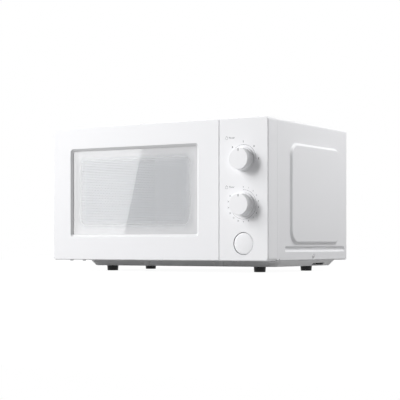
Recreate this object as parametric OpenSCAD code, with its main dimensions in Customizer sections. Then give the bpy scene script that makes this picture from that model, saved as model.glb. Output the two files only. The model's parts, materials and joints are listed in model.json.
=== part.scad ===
// Countertop microwave oven: two turn knobs, a push button that opens the door, and a glass turntable.
// +X points right as seen from the front, +Y points back and +Z points up.
// The origin is on the floor, in the middle of the oven's footprint.
// Inside the modules, X and Z start at the middle of the front's bottom edge and Y at the front face.

/* [Front] */
// Width of the door and the control panel together
front_w = 454; // [446:1:500]
// Height of the front
front_h = 243.5; // [240:0.5:280]
// Depth of the door and of the control panel
front_t = 31.8; // [30:0.1:36]
// Radius of the front's corners
front_r = 6; // [5:0.5:9]
// Rounding of the front's edges
front_edge = 2; // [1:0.25:2.5]
// Width of the control panel
fascia_w = 95; // [92:1:105]
// Gap between the door and the control panel
door_gap = 1.4; // [1:0.1:2.5]
// Wall of the plastic mouldings
wall = 2.5; // [2:0.1:3]

/* [Window] */
// Door face left and right of the window
window_side = 40.4; // [36:0.1:60]
// Door face below the window
window_sill = 41.5; // [38:0.5:60]
// Door face above the window
window_head = 39.8; // [36:0.1:60]
// Radius of the window's corners
window_r = 6.5; // [5:0.5:10]
// Width of the slope round the window
bevel_w = 4.5; // [2:0.1:4.8]
// Depth of the slope round the window
bevel_d = 3; // [1.5:0.1:4.5]
// Depth of the window pane behind the front
recess_d = 6.5; // [5:0.1:8]
// Thickness of the window pane
pane_t = 3; // [2:0.1:4]
// How far the pane reaches behind the moulding
pane_lap = 5; // [3:0.1:6]

/* [Knobs and button] */
// Radius of a knob
knob_r = 18.3; // [15:0.1:19]
// How far a knob stands out from the front
knob_proud = 18; // [14:0.1:24]
// Radius of the skirt at a knob's root
skirt_r = 20.6; // [19.5:0.1:23]
// Height of that skirt
skirt_h = 3.5; // [2:0.1:6]
// Distance of the controls from the right edge of the front
controls_in = 48; // [46:0.5:50]
// Height of the power knob above the front's bottom edge
power_z = 172.8; // [165:0.1:185]
// Height of the timer knob above the front's bottom edge
timer_z = 95.9; // [93:0.1:100]
// Height of the door button above the front's bottom edge
button_z = 29.5; // [28:0.1:31]
// Radius of the door button
button_r = 18.3; // [15:0.1:20]
// Ring of space round the door button
button_gap = 1; // [0.6:0.1:1.5]
// Travel of the door button
button_travel = 5; // [3:0.1:5.5]
// Radius of the knobs' shafts
shaft_r = 3; // [2:0.1:3.5]

/* [Cabinet] */
// Depth from the front face to the rear edge of the shell
body_d = 314.5; // [314:0.5:360]
// How far the shell stands in from the front's outline
shell_in = 1; // [0.6:0.1:2]
// Thickness of the sheet steel
sheet = 0.8; // [0.6:0.1:1]
// Radius of the shell's bends
shell_r = 4; // [2:0.5:8]
// Height of the shell's bottom edge above the front's bottom edge
shell_lift = 1.3; // [1:0.1:2]
// Space between the door and the front plate
seam = 0.8; // [0.6:0.1:1.2]
// Width of the lip round the shell's rear edge
rear_lip = 12; // [10:0.5:14]
// Distance of the raised side field from the shell's front edge
field_front = 46; // [40:0.5:70]
// Distance of the raised side field from the shell's rear edge
field_rear = 29.8; // [25:0.1:60]
// Distance of the raised side field from the shell's bottom edge
field_low = 28.2; // [27:0.1:50]
// Distance of the raised side field from the shell's top
field_top = 36.5; // [20:0.5:60]
// Corner radius of the raised side field
field_r = 26; // [10:0.5:40]
// Height of the raised side field
field_rise = 4; // [2:0.1:6]
// Width of the slope round the raised side field
field_run = 4.4; // [2:0.1:8]
// Distance of the side groove from the shell's front edge
groove_front = 28.8; // [20:0.1:60]
// Distance of the side groove from the shell's rear edge
groove_rear = 9.4; // [8:0.1:40]
// Distance of the side groove from the shell's bottom edge
groove_low = 13.3; // [13:0.1:14]
// Height of the side groove
groove_h = 10.9; // [9.5:0.1:12]
// Depth of the side groove
groove_d = 3; // [1:0.1:3.5]
// Width of the side groove's slopes
groove_run = 4; // [2:0.1:4.5]

/* [Base] */
// Thickness of the base plate
base_t = 1; // [0.8:0.1:1.2]
// Distance of the pan's flat bottom from the front's left edge
pan_left = 51; // [46:0.5:60]
// Distance of the pan's flat bottom from the front's right edge
pan_right = 20; // [16:0.5:22]
// Distance of the pan's flat bottom from the front face
pan_front = 56; // [56:0.5:60]
// Distance of the pan's flat bottom from the shell's rear edge
pan_rear = 26.5; // [20:0.5:32]
// Depth of the pan below the base plate's ledge
pan_d = 10.5; // [9:0.1:12]
// Corner radius of the pan's flat bottom
pan_r = 15.5; // [12:0.5:20]
// Radius of a rubber foot at the base plate
foot_r = 10.75; // [9:0.05:12]
// Height of a rubber foot below the pan
foot_h = 9.5; // [8:0.1:14]

/* [Oven cavity] */
// Distance of the oven cavity from the door's left and right sides
cavity_side = 25.8; // [24:0.1:30]
// Distance of the oven cavity below the front's top
cavity_head = 25.5; // [24:0.5:32]
// Distance of the oven cavity from the shell's rear edge
cavity_rear = 9.1; // [8:0.1:20]
// Height of the cavity floor above the front's bottom edge
cavity_low = 22; // [21:0.5:24]
// Radius of the cavity's corners
cavity_r = 8; // [4:0.5:12]
// Space between the glass tray and the cavity's nearest wall
tray_gap = 13.5; // [9:0.5:24]
// Thickness of the glass tray
tray_t = 4.5; // [3.5:0.1:6]
// Radius of the tray's rollers
roller_r = 7; // [6:0.1:9]
// Distance from the tray's rim to the circle that the rollers run on
track_in = 30.5; // [26:0.5:42]

/* [Hinge and latch] */
// Distance of the hinge line from the door's left side
hinge_side = 11; // [10:0.1:11.5]
// Distance of the hinge line from the door's back
hinge_back = 13; // [12.5:0.1:14]
// Radius of the hinge pins
pin_r = 3; // [2.5:0.1:3.4]
// Thickness of the hinge plates
hinge_t = 2; // [1.5:0.1:2.2]
// Thickness of a latch hook
hook_w = 5; // [4:0.1:5.4]
// Height of the lower latch hook above the front's bottom edge
lower_hook_z = 60; // [59:0.5:64]
// Distance of the upper latch hook below the front's top
upper_hook_in = 61.5; // [57:0.5:73]
// Lift of the latch hooks
hook_lift = 4; // [3:0.1:5]

/* [Microwave source and fan] */
// Depth of the waveguide, from side to side of its channel
guide_w = 84; // [80:1:88]
// Height of the waveguide's channel away from the cavity
guide_t = 34; // [30:0.5:35]
// Height of the magnetron's middle above the front's bottom edge
source_z = 160; // [158:0.5:164]
// Width of the transformer's iron core
core_w = 92; // [84:1:94]
// Thickness of the transformer's stack
core_d = 64; // [56:1:68]
// Height of the transformer's iron core
core_h = 70; // [62:1:76]
// Radius of the fan blade
fan_r = 43; // [36:0.5:45]

/* [Clearances] */
// Space between parts that sit on each other
seat = 0.3; // [0.2:0.05:0.4]
// Radial running clearance of a shaft in its bore
run_fit = 0.05; // [0.03:0.01:0.08]

/* [Hidden] */
$fn = 48;
over = 1;                 // how far a cutting solid runs past the faces that it cuts

// Screws
head_r = 3.6;
head_h = 1.8;
thread_r = 1.7;
hole_r = 1.9;
dimple_r = 5.5;
dimple_d = 1.2;

// Front outline
left_x = -front_w / 2;
right_x = front_w / 2;
fascia_x = right_x - fascia_w;
door_x = fascia_x - door_gap;
controls_x = right_x - controls_in;

// Window
window_x0 = left_x + window_side;
window_x1 = door_x - window_side;
window_z1 = front_h - window_head;
pane_y = recess_d + seat;
screen_y = pane_y + pane_t + seat;

// Depths of the cabinet
plate_y = front_t + seam;
inner_y = plate_y + sheet;
shell_y = plate_y + sheet / 4;
rear_y = body_d - sheet;
shell_x = right_x - shell_in;
shell_top = front_h - shell_in;
skin_x = shell_x - sheet;
skin_top = shell_top - sheet;
inside_x = skin_x - seat;
inside_top = skin_top - seat;

// Base plate and feet
ledge_z = -seat;
ledge_top = ledge_z + base_t;
pan_x0 = left_x + pan_left;
pan_x1 = right_x - pan_right;
pan_y1 = body_d - pan_rear;
pan_z = ledge_z - pan_d;
pan_floor = pan_z + base_t;
base_flange = shell_lift + groove_low - 1.8;
pocket_w = 33;
pocket_inner_w = 9;
pocket_d = 9;
pocket_xs = [pan_x0 + 121, pan_x1 - 104];
vent_slot_y = pan_y1 - 88;
foot_y0 = pan_front + 20;
foot_y1 = pan_y1 - 56;
foot_spots = [[pan_x0 + 31, foot_y0], [pan_x1 - 37.5, foot_y0],
    [pan_x0 + foot_r + 2.25, foot_y1], [pan_x1 - 25, foot_y1]];
foot_toe_r = foot_r - 0.75;
foot_well_r = 5;
foot_well_d = foot_h - 3.5;

// Where the object stands
front_z = foot_h - pan_z;
front_y = knob_proud - (knob_proud + body_d + head_h) / 2;

// Oven cavity
cavity_x0 = left_x + cavity_side;
cavity_x1 = door_x - cavity_side;
cavity_x = (cavity_x0 + cavity_x1) / 2;
cavity_z1 = front_h - cavity_head;
cavity_y1 = body_d - cavity_rear;
cavity_d = cavity_y1 - inner_y;
cavity_y = (inner_y + cavity_y1) / 2;
tray_r = min(cavity_x1 - cavity_x0, cavity_d) / 2 - tray_gap;
track_r = tray_r - track_in;
wall_x = cavity_x1 + sheet;
dip_d = 1.5;
dip_r = track_r + 20;
track_z = cavity_low - dip_d;

// Turntable drive
roller_z = track_z + seat + roller_r;
tray_z = roller_z + roller_r + seat;
axle_r = 2;
roller_w = 8;
ring_r = track_r - roller_w / 2 - seat;
ring_w = 6;
drive_r = 3;
drive_hole_r = 8.5;
coupler_r = 9;
lobe_r = 21;
lobe_w = 7;
lug_h = 4.5;
motor_r = 24.5;
motor_h = 14.5;
motor_top = track_z - sheet;
motor_ear = 32;

// Hinge
hinge_x = left_x + hinge_side;
hinge_y = front_t - hinge_back;
arm_w = 10;
arm_z = 5.3;
boss_r = pin_r + 3.5;
boss_h = arm_z - 0.5;

// Door plate: a dished screen, a sealing flange and the channel round it
dish_r = window_r + pane_lap - 1;
flange_y = front_t - 1.4;
seal_lap = 6;
choke_w = 7;
choke_y = flange_y - 14.4;

// Latch
upper_hook_z = front_h - upper_hook_in;
hook_x = door_x - wall - hook_w / 2 - 2.6;
hook_y0 = choke_y + 4;
hook_y1 = plate_y + 23.4;
hook_h = 8;
catch_h = 4;
catch_l = 6;
hook_zs = [lower_hook_z, upper_hook_z];
slot_side = 3;
spring_z0 = upper_hook_z + hook_h + 15;
spring_h = 14;

// Latch board with the lever behind the door button
board_x = hook_x + hook_w / 2 + 4;
board_t = 2.5;
board_z0 = 38;
board_z1 = upper_hook_z + 30;
pivot_y = plate_y + 11.4;
lever_arm = 14.5;
pivot_z = button_z + lever_arm;
pivot_r = 3;
paddle_t = 4;
stem_r = 4;
tip_r = 3;
stem_end = pivot_y - paddle_t / 2 - 0.4;
guide_d = 16;
button_cap = 4;
switch_w = 10.3;
switch_d = 16;
switch_l = 27.8;

// Controls
timer_half = 27;
selector_half = 23;
unit_y = 9;
opening_half = timer_half + 5;

// Microwave source
guide_y0 = inner_y + 33;
guide_z0 = source_z - 98;
guide_z1 = source_z + 42;
guide_x = wall_x + guide_t;
source_y = guide_y0 + guide_w / 2;
yoke_w = 50;
yoke_half_y = 46;
yoke_half_z = 40;
yoke_t = 1.5;
fin_n = 7;
fin_pitch = 6;
antenna_r = 13;
feed_z = guide_z0 + 6;
feed_h = 32;

// Fan and duct
fan_x = wall_x + 66;
fan_y = rear_y - 24;
bracket_half = fan_r + 7;
motor_y = fan_y - 24;
motor_t = 16;
duct_half_x = 37;

// Transformer, capacitor and small electrics
core_x = pan_x1 - 1 - core_w;
leg_w = 34;
window_w = 14;
yoke_h = (core_h - 40) / 2;
winding_out = 18;
bushing_x = fan_x + 30;
bushing_z = 88;
bushing_r = 9;
cord_r = 4.1;
board_y = rear_y - sheet - 8;
board_parts_d = 16;
can_w = 52;
can_d = 32;
can_h = 88;
can_gap = 8.5;
can_x = core_x + 38;
can_y = board_y - board_parts_d - can_gap - can_d / 2;
core_gap = 6;
core_y = can_y - can_d / 2 - core_gap - winding_out - core_d;

// ---- Helpers ----

// Draws in the front's own coordinates
module place() translate([0, front_y, front_z]) children();

// Runs an outline in X and Z back by a depth
module into(d) translate([0, d, 0]) rotate([90, 0, 0]) linear_extrude(d) children();

// Runs an outline in Y and Z along +X
module across(w) rotate([90, 0, 90]) linear_extrude(w) children();

// Outline with round corners, from its low corner to its high corner
module rounded(x0, y0, x1, y1, r) {
    translate([x0 + r, y0]) square([x1 - x0 - 2 * r, y1 - y0]);
    translate([x0, y0 + r]) square([x1 - x0, y1 - y0 - 2 * r]);
    for (x = [x0 + r, x1 - r], y = [y0 + r, y1 - r])
        translate([x, y]) circle(r);
}

// Section of a pressing, with its straight root below zero
module pressing_section(a, b, run, rise, root)
    polygon([[a, -root], [b, -root], [b, 0], [b - run, rise], [a + run, rise], [a, 0]]);

// Flat field with round corners and sloping sides, which narrows by run over its rise
module pressing(x0, y0, x1, y1, r, run, rise, root) {
    translate([x0 + r, 0, 0])
        across(x1 - x0 - 2 * r)
            pressing_section(y0, y1, run, rise, root);
    translate([0, y0 + r, 0])
        into(y1 - y0 - 2 * r)
            pressing_section(x0, x1, run, rise, root);
    for (x = [x0 + r, x1 - r], y = [y0 + r, y1 - r])
        translate([x, y, 0])
            rotate_extrude()
                polygon([[0, -root], [r, -root], [r, 0], [r - run, rise], [0, rise]]);
}

// Section of a slab whose front edges are rounded
module soft_section(low, high, d, e) {
    translate([e, low]) square([d - e, high - low]);
    translate([0, low + e]) square([d, high - low - 2 * e]);
    for (z = [low + e, high - e])
        translate([e, z]) circle(e);
}

// Slab with round corners and rounded front edges
module soft_slab(x0, z0, x1, z1, d, r, e) {
    translate([x0 + r, 0, 0]) across(x1 - x0 - 2 * r) soft_section(z0, z1, d, e);
    translate([0, 0, z0 + r])
        linear_extrude(z1 - z0 - 2 * r)
            mirror([1, -1, 0]) soft_section(x0, x1, d, e);
    for (x = [x0 + r, x1 - r], z = [z0 + r, z1 - r])
        translate([x, 0, z]) rotate([-90, 0, 0]) rotate_extrude() {
            square([r - e, d]);
            translate([0, e]) square([r, d - e]);
            translate([r - e, e]) circle(e);
        }
}

// Cylinder that runs back from y by a length
module rod(x, y, z, r, l) translate([x, y, z]) rotate([-90, 0, 0]) cylinder(h = l, r = r);

// Cylinder that runs right from x by a length
module side_rod(x, y, z, r, l) translate([x, y, z]) rotate([0, 90, 0]) cylinder(h = l, r = r);

// Block from its low corner to its high corner
module block(a, b) translate(a) cube(b - a);

// Screw with its head at the origin and its thread along +Z
module screw(l) {
    translate([0, 0, -head_h]) cylinder(h = head_h, r1 = head_r - 0.8, r2 = head_r);
    cylinder(h = l, r = thread_r);
}

// Coil of wire, as high as h, along +Z
module coil(r, wire_r, h, turns) {
    sides = 6;
    steps = 12 * turns;
    points = [for (i = [0:steps], j = [0:sides - 1])
        let (turn = 360 * turns * i / steps, side = 360 * j / sides, out = r + wire_r * cos(side))
            [out * cos(turn), out * sin(turn), wire_r + (h - 2 * wire_r) * i / steps + wire_r * sin(side)]];
    walls = [for (i = [0:steps - 1], j = [0:sides - 1])
        let (a = sides * i + j, b = sides * i + (j + 1) % sides)
            each [[a, b, b + sides], [a, b + sides, a + sides]]];
    first = [for (j = [sides - 1:-1:0]) j];
    last = [for (j = [0:sides - 1]) sides * steps + j];
    polyhedron(points, concat(walls, [first, last]));
}

// ---- Cabinet ----

module shell_outline(x, top, r) {
    translate([-x, shell_lift]) square([2 * x, top - shell_lift - r]);
    translate([-x + r, shell_lift]) square([2 * (x - r), top - shell_lift]);
    for (s = [-1, 1])
        translate([s * (x - r), top - r]) circle(r);
}

// The raised field on the side of the shell, on the plane of that side
module side_field()
    pressing(shell_y + field_front, shell_lift + field_low, body_d - field_rear, shell_top - field_top,
        field_r, field_run, field_rise, over);

// The groove that is pressed into the side of the shell
module side_groove()
    pressing(shell_y + groove_front, shell_lift + groove_low, body_d - groove_rear,
        shell_lift + groove_low + groove_h, groove_run + 0.5, groove_run, groove_d, over);

side_screw_y = (shell_y + body_d) / 2;
side_screw_z = shell_lift + 5.2;
rear_screws = [[-shell_x + 6, 60], [-shell_x + 6, 190], [shell_x - 6, 60], [shell_x - 6, 190],
    [-shell_x + 76, shell_top - 6], [0, shell_top - 6], [shell_x - 76, shell_top - 6]];

module outer_shell() color("white") place() difference() {
    union() {
        translate([0, shell_y, 0]) into(body_d - shell_y) shell_outline(shell_x, shell_top, shell_r);
        for (s = [0, 1])
            mirror([s, 0, 0]) translate([shell_x, 0, 0]) rotate([90, 0, 90]) side_field();
    }
    difference() {
        union() {
            translate([0, shell_y - over, -over])
                into(rear_y - shell_y + over) shell_outline(skin_x, skin_top + over, shell_r - sheet);
            for (s = [0, 1])
                mirror([s, 0, 0]) translate([skin_x, 0, 0]) rotate([90, 0, 90]) side_field();
        }
        for (s = [0, 1]) mirror([s, 0, 0]) {
            translate([skin_x, 0, 0]) rotate([90, 0, 90]) mirror([0, 0, 1]) side_groove();
            side_rod(skin_x - dimple_d, side_screw_y, side_screw_z, dimple_r, 2 * dimple_d);
        }
    }
    translate([0, rear_y - over, -over])
        into(2 * over + sheet)
            shell_outline(shell_x - rear_lip, shell_top - rear_lip + over, shell_r);
    for (s = [0, 1]) mirror([s, 0, 0]) {
        translate([shell_x, 0, 0]) rotate([90, 0, 90]) mirror([0, 0, 1]) side_groove();
        translate([shell_x - dimple_d, side_screw_y, side_screw_z])
            rotate([0, 90, 0]) cylinder(h = dimple_d, r1 = dimple_r - 1.5, r2 = dimple_r);
        side_rod(skin_x - 3, side_screw_y, side_screw_z, hole_r, 6);
        side_rod(skin_x - 1, shell_y + 9.7, shell_lift + 0.4, 1.5, 3);
    }
    for (p = rear_screws)
        rod(p[0], rear_y - over, p[1], hole_r, 2 * over + sheet);
}

module rear_panel() color("silver") place() difference() {
    translate([0, rear_y - sheet, 0])
        into(sheet) rounded(-inside_x, ledge_top, inside_x, inside_top, shell_r);
    for (p = rear_screws)
        rod(p[0], rear_y - 2 * over, p[1], hole_r, 4 * over);
    rod(bushing_x, rear_y - 2 * over, bushing_z, bushing_r, 4 * over);
    fan_slots();
    for (i = [0:11])
        block([-190 + 9 * i, rear_y - 2 * over, inside_top - 60],
            [-186.5 + 9 * i, rear_y + over, inside_top - 36]);
    for (i = [0:11])
        block([-190 + 9 * i, rear_y - 2 * over, 40], [-186.5 + 9 * i, rear_y + over, 64]);
}

// Slots in front of the fan, shorter towards the top and bottom of its circle
module fan_slots() {
    pitch = 7;
    for (i = [-5:5]) {
        z = i * pitch;
        half = sqrt(pow(fan_r - 3, 2) - z * z);
        for (s = [-1, 1])
            block([fan_x + (s > 0 ? 2.5 : -half), rear_y - 2 * over, source_z + z - 1.6],
                [fan_x + (s > 0 ? half : -2.5), rear_y + over, source_z + z + 1.6]);
    }
}

// The pan's outside, moved in by g on every side
module pan_form(g) {
    difference() {
        translate([0, 0, ledge_z + g])
            mirror([0, 0, 1])
                pressing(pan_x0 - pan_d + g, pan_front - pan_d + g, pan_x1 + pan_d - g,
                    pan_y1 + pan_d - g, pan_r + pan_d - g, pan_d, pan_d, base_t / 2);
        for (x = pocket_xs)
            translate([x, pan_front - pan_d - over, pan_z - over])
                linear_extrude(pan_d + 3 * over)
                    polygon([[-pocket_w / 2 - g - over, 0], [pocket_w / 2 + g + over, 0],
                        [pocket_inner_w / 2 + g, pocket_d + over + g],
                        [-pocket_inner_w / 2 - g, pocket_d + over + g]]);
    }
}

module base_plate() color("gainsboro") place() difference() {
    union() {
        block([-inside_x, inner_y, ledge_z], [inside_x, rear_y, ledge_top]);
        for (s = [0, 1])
            mirror([s, 0, 0])
                block([inside_x - dimple_d - base_t, inner_y + 4, ledge_z],
                    [inside_x - dimple_d, rear_y - 4, base_flange]);
        pan_form(0);
    }
    pan_form(base_t);
    for (p = foot_spots)
        translate([p[0], p[1], pan_z - over]) cylinder(h = base_t + 2 * over, r = hole_r);
    for (p = front_screws)
        translate([p[0], p[1], ledge_z - over]) cylinder(h = base_t + 2 * over, r = hole_r);
    for (s = [0, 1])
        mirror([s, 0, 0]) side_rod(inside_x - 4 * base_t, side_screw_y, side_screw_z, hole_r, 6 * base_t);
    block([pan_x1 - 2, vent_slot_y, pan_z + 2], [pan_x1 + pan_d, vent_slot_y + 46, pan_z + 5.2]);
    for (i = [0:9])
        block([pan_x0 + 24 + 9 * i, pan_y1 - 60, pan_z - over],
            [pan_x0 + 28 + 9 * i, pan_y1 - 20, pan_floor + over]);
}

front_screws = [[left_x + 13, inner_y + 6.6], [left_x + 42.4, inner_y + 6.6],
    [pocket_xs[0] + 40, inner_y + 6.6], [fascia_x + 8, inner_y + 6.6], [right_x - 13, inner_y + 6.6]];

module front_plate() color("white") place() difference() {
    union() {
        translate([0, plate_y, 0]) into(sheet) rounded(-inside_x, ledge_top, inside_x, inside_top, 3);
        block([-inside_x + 3, plate_y, inside_top - sheet], [inside_x - 3, inner_y + 9, inside_top]);
        block([-inside_x + 3, plate_y, ledge_top], [inside_x - 3, inner_y + 12, ledge_top + sheet]);
        for (s = [0, 1])
            mirror([s, 0, 0])
                block([inside_x - sheet, plate_y, base_flange + 16], [inside_x, inner_y + 9, inside_top - 3]);
    }
    translate([0, plate_y - over, 0])
        into(sheet + 2 * over) rounded(cavity_x0, cavity_low, cavity_x1, cavity_z1, cavity_r);
    block([controls_x - opening_half, plate_y - over, 12],
        [controls_x + opening_half, inner_y + over, power_z + selector_half + 12]);
    for (z = hook_zs)
        block([hook_x - hook_w / 2 - slot_side, plate_y - over, z - catch_h - 2],
            [hook_x + hook_w / 2 + slot_side, inner_y + over, z + hook_h + hook_lift + 2]);
    for (z = [arm_z, front_h - arm_z - hinge_t])
        block([hinge_x - arm_w / 2 - 1, plate_y - over, z - 0.5],
            [hinge_x + arm_w / 2 + 1, inner_y + over, z + hinge_t + 0.5]);
    for (p = front_screws)
        translate([p[0], p[1], ledge_top - over]) cylinder(h = sheet + 2 * over, r = hole_r);
}

module oven_cavity() color("whitesmoke") place() difference() {
    union() {
        translate([0, inner_y, 0])
            into(cavity_d + sheet)
                rounded(cavity_x0 - sheet, cavity_low - sheet, wall_x, cavity_z1 + sheet, cavity_r + sheet);
        translate([cavity_x, cavity_y, track_z - sheet]) cylinder(h = dip_d + sheet, r = dip_r + sheet);
    }
    translate([0, inner_y - over, 0])
        into(cavity_d + over) rounded(cavity_x0, cavity_low, cavity_x1, cavity_z1, cavity_r);
    translate([cavity_x, cavity_y, track_z]) cylinder(h = dip_d + over, r = dip_r);
    translate([cavity_x, cavity_y, track_z - sheet - over]) cylinder(h = 3 * over, r = drive_hole_r);
    block([cavity_x1 - over, source_y - 32, feed_z], [wall_x + over, source_y + 32, feed_z + feed_h]);
    for (i = [0:5])
        block([cavity_x1 - over, lamp_y - 12 + 4.4 * i, lamp_z - 10],
            [wall_x + over, lamp_y - 10 + 4.4 * i, lamp_z + 10]);
    for (i = [0:9])
        block([cavity_x0 - sheet - over, cavity_y + 40 + 6 * i, cavity_z1 - 44],
            [cavity_x0 + over, cavity_y + 42.4 + 6 * i, cavity_z1 - 22]);
}

module foot() {
    difference() {
        cylinder(h = foot_h, r1 = foot_toe_r, r2 = foot_r);
        translate([0, 0, -over]) cylinder(h = foot_well_d + over, r = foot_well_r);
        translate([0, 0, -over]) cylinder(h = foot_h + 2 * over, r = hole_r);
    }
}

module feet() color([0.08, 0.08, 0.09]) place()
    for (p = foot_spots)
        translate([p[0], p[1], pan_z - foot_h]) foot();

module foot_screws() color("dimgray") place()
    for (p = foot_spots)
        translate([p[0], p[1], pan_z - foot_h + foot_well_d]) screw(foot_h - foot_well_d + 6);

module cabinet_screws() color("lightgray") place() {
    for (p = rear_screws)
        translate([p[0], body_d, p[1]]) rotate([90, 0, 0]) screw(7);
    for (s = [0, 1])
        mirror([s, 0, 0])
            translate([shell_x - dimple_d, side_screw_y, side_screw_z]) rotate([0, -90, 0]) screw(7);
}

module base_screws() color("dimgray") place()
    for (p = front_screws)
        translate([p[0], p[1], ledge_z]) screw(5);

// Hinge plate behind the front plate, with an arm and a pin that points away from the middle of the door
module hinge_plate() {
    block([hinge_x - 7, inner_y, arm_z], [hinge_x + 10, inner_y + hinge_t, arm_z + 34]);
    difference() {
        translate([0, 0, arm_z]) linear_extrude(hinge_t) {
            translate([hinge_x - arm_w / 2, hinge_y]) square([arm_w, inner_y + hinge_t - hinge_y]);
            translate([hinge_x, hinge_y]) circle(arm_w / 2);
        }
    }
    translate([hinge_x, hinge_y, 1.2]) cylinder(h = arm_z - 1.2 + hinge_t / 2, r = pin_r);
}

module lower_hinge() color("silver") place() hinge_plate();

module upper_hinge() color("silver") place()
    translate([0, 0, front_h]) mirror([0, 0, 1]) hinge_plate();

// ---- Control panel ----

module control_fascia() color("white") place() difference() {
    union() {
        difference() {
            soft_slab(fascia_x - 2 * front_r, 0, right_x, front_h, front_t, front_r, front_edge);
            block([fascia_x - 3 * front_r, -over, -over], [fascia_x, front_t + over, front_h + over]);
            translate([0, wall, 0])
                into(front_t)
                    rounded(fascia_x + wall, wall, right_x - wall, front_h - wall, front_r - wall);
        }
        rod(controls_x, over, button_z, button_r + button_gap + wall, guide_d + wall - over);
        for (x = [fascia_x + wall + 5, right_x - wall - 5], z = [wall + 16, front_h - wall - 16])
            rod(x, over, z, 4.5, plate_y - over);
        for (s = [-1, 1], t = [-1, 1]) {
            rod(controls_x + s * (timer_half - 4), over, timer_z + t * (timer_half - 2), 3.5, unit_y - over);
            rod(controls_x + s * (selector_half - 4), over, power_z + t * (selector_half - 4), 3.5,
                unit_y - over);
        }
    }
    rod(controls_x, -over, button_z, button_r + button_gap, guide_d + over);
    rod(controls_x, -over, button_z, stem_r + run_fit, guide_d + wall + 2 * over);
    for (z = [power_z, timer_z])
        rod(controls_x, -over, z, shaft_r + 0.6, wall + 2 * over);
}

// Knob with its skirt, a hub on the shaft and a hollow back; the middle of its root is the origin
module knob() {
    difference() {
        union() {
            rod(0, -knob_proud, 0, knob_r, knob_proud - skirt_h);
            rod(0, -skirt_h, 0, skirt_r, skirt_h - 0.5);
        }
        rod(0, -knob_proud + wall, 0, knob_r - wall, knob_proud);
    }
    difference() {
        rod(0, -knob_proud + wall - over, 0, shaft_r + 3, knob_proud - wall + over - 0.5);
        rod(0, -knob_proud + wall, 0, shaft_r + 0.02, knob_proud);
    }
}

module power_knob() color("white") place() translate([controls_x, 0, power_z]) knob();
module timer_knob() color("white") place() translate([controls_x, 0, timer_z]) knob();

// Shaft from a knob's hub into the unit behind it
module knob_shaft(z)
    rod(controls_x, -knob_proud + wall + 0.3, z, shaft_r, knob_proud - wall - 0.3 + unit_y + 16);

module power_shaft() color("silver") place() knob_shaft(power_z);
module timer_shaft() color("silver") place() knob_shaft(timer_z);

// Body of a unit behind the control panel, with the bore of its shaft
module control_unit(half_x, half_z, z, d) difference() {
    union() {
        block([controls_x - half_x, unit_y + 2, z - half_z], [controls_x + half_x, unit_y + d, z + half_z]);
        rod(controls_x, unit_y - 3, z, shaft_r + 3, 6);
        block([controls_x - half_x, unit_y, z - half_z], [controls_x + half_x, unit_y + 2.5, z + half_z]);
    }
    rod(controls_x, unit_y - 3 - over, z, shaft_r + run_fit, 21 + over);
}

module power_selector() color("darkgray") place()
    control_unit(selector_half, selector_half, power_z, 26);

module timer_unit() color("darkgray") place() {
    control_unit(timer_half, timer_half + 2, timer_z, 36);
    translate([controls_x + 8, unit_y + 36 - over, timer_z + 12])
        rotate([-90, 0, 0]) cylinder(h = 7, r = 9);
}

module door_button() color("white") place() {
    difference() {
        rod(controls_x, 0, button_z, button_r, button_cap + 6);
        rod(controls_x, button_cap, button_z, button_r - 2, 6 + over);
    }
    rod(controls_x, button_cap - over, button_z, stem_r, stem_end - tip_r - button_cap + over);
    translate([controls_x, stem_end - tip_r, button_z]) sphere(tip_r);
}

module button_spring() color("silver") place()
    translate([controls_x, button_cap + seat, button_z])
        rotate([-90, 0, 0]) coil(7, 0.6, guide_d - button_cap - 2 * seat, 5);

// Bell crank: the button pushes its paddle back and its finger rises under the lower hook
module release_lever() color("lightgray") place() {
    finger_y = hook_y1 - 2.5;
    side_rod(hook_x - hook_w / 2 - 2, pivot_y, pivot_z, pivot_r, controls_x + 9.6 - hook_x + hook_w / 2 + 2);
    block([controls_x - 7, pivot_y - paddle_t / 2, button_z - 6],
        [controls_x + 7, pivot_y + paddle_t / 2, pivot_z]);
    block([hook_x - 3, pivot_y, pivot_z - 3], [hook_x + 3, finger_y + 4, pivot_z + 2.5]);
    block([hook_x - 3, finger_y, pivot_z], [hook_x + 3, finger_y + 4, lower_hook_z - catch_h - hook_lift - 1]);
}

module latch_board() color("gainsboro") place() difference() {
    union() {
        block([board_x, inner_y, board_z0], [board_x + board_t, inner_y + 28, board_z1]);
        block([wall_x + 3, inner_y, board_z0], [board_x + board_t, inner_y + 2, board_z1]);
        for (z = hook_zs)
            block([wall_x + 6, inner_y + 1, z - catch_h - 6],
                [board_x + 1, inner_y + 12.6, z - catch_h - 3]);
        block([board_x, inner_y, board_z0], [controls_x + 10, inner_y + 2.5, pivot_z + 5.5]);
        block([controls_x + 7.5, inner_y, board_z0], [controls_x + 10, pivot_y + 6, pivot_z + 5.5]);
    }
    for (z = hook_zs)
        block([hook_x - hook_w / 2 - slot_side, inner_y - over, z - catch_h - 2],
            [board_x - 0.5, inner_y + 3, z + hook_h + hook_lift + 2]);
    side_rod(board_x - over, pivot_y, pivot_z, pivot_r + run_fit, controls_x + 12 - board_x);
    block([controls_x - 10, inner_y - over, board_z0 - over], [controls_x + 7.5 - 0.01, inner_y + 4, button_z + 12]);
}

module interlock_switches() color([0.2, 0.2, 0.22]) place()
    for (z = [pivot_z + 16, pivot_z + 50, upper_hook_z - 4])
        block([board_x + board_t + seat, inner_y + 3, z],
            [board_x + board_t + seat + switch_w, inner_y + 3 + switch_d, z + switch_l]);

// ---- Microwave source ----

module waveguide() color("silver") place() difference() {
    block([wall_x, guide_y0, guide_z0], [guide_x, guide_y0 + guide_w, guide_z1]);
    block([wall_x - over, guide_y0 + sheet, guide_z0 + sheet],
        [guide_x - sheet, guide_y0 + guide_w - sheet, guide_z1 - sheet]);
    side_rod(guide_x - 2 * over, source_y, source_z, antenna_r + seat, 4 * over);
}

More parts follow.
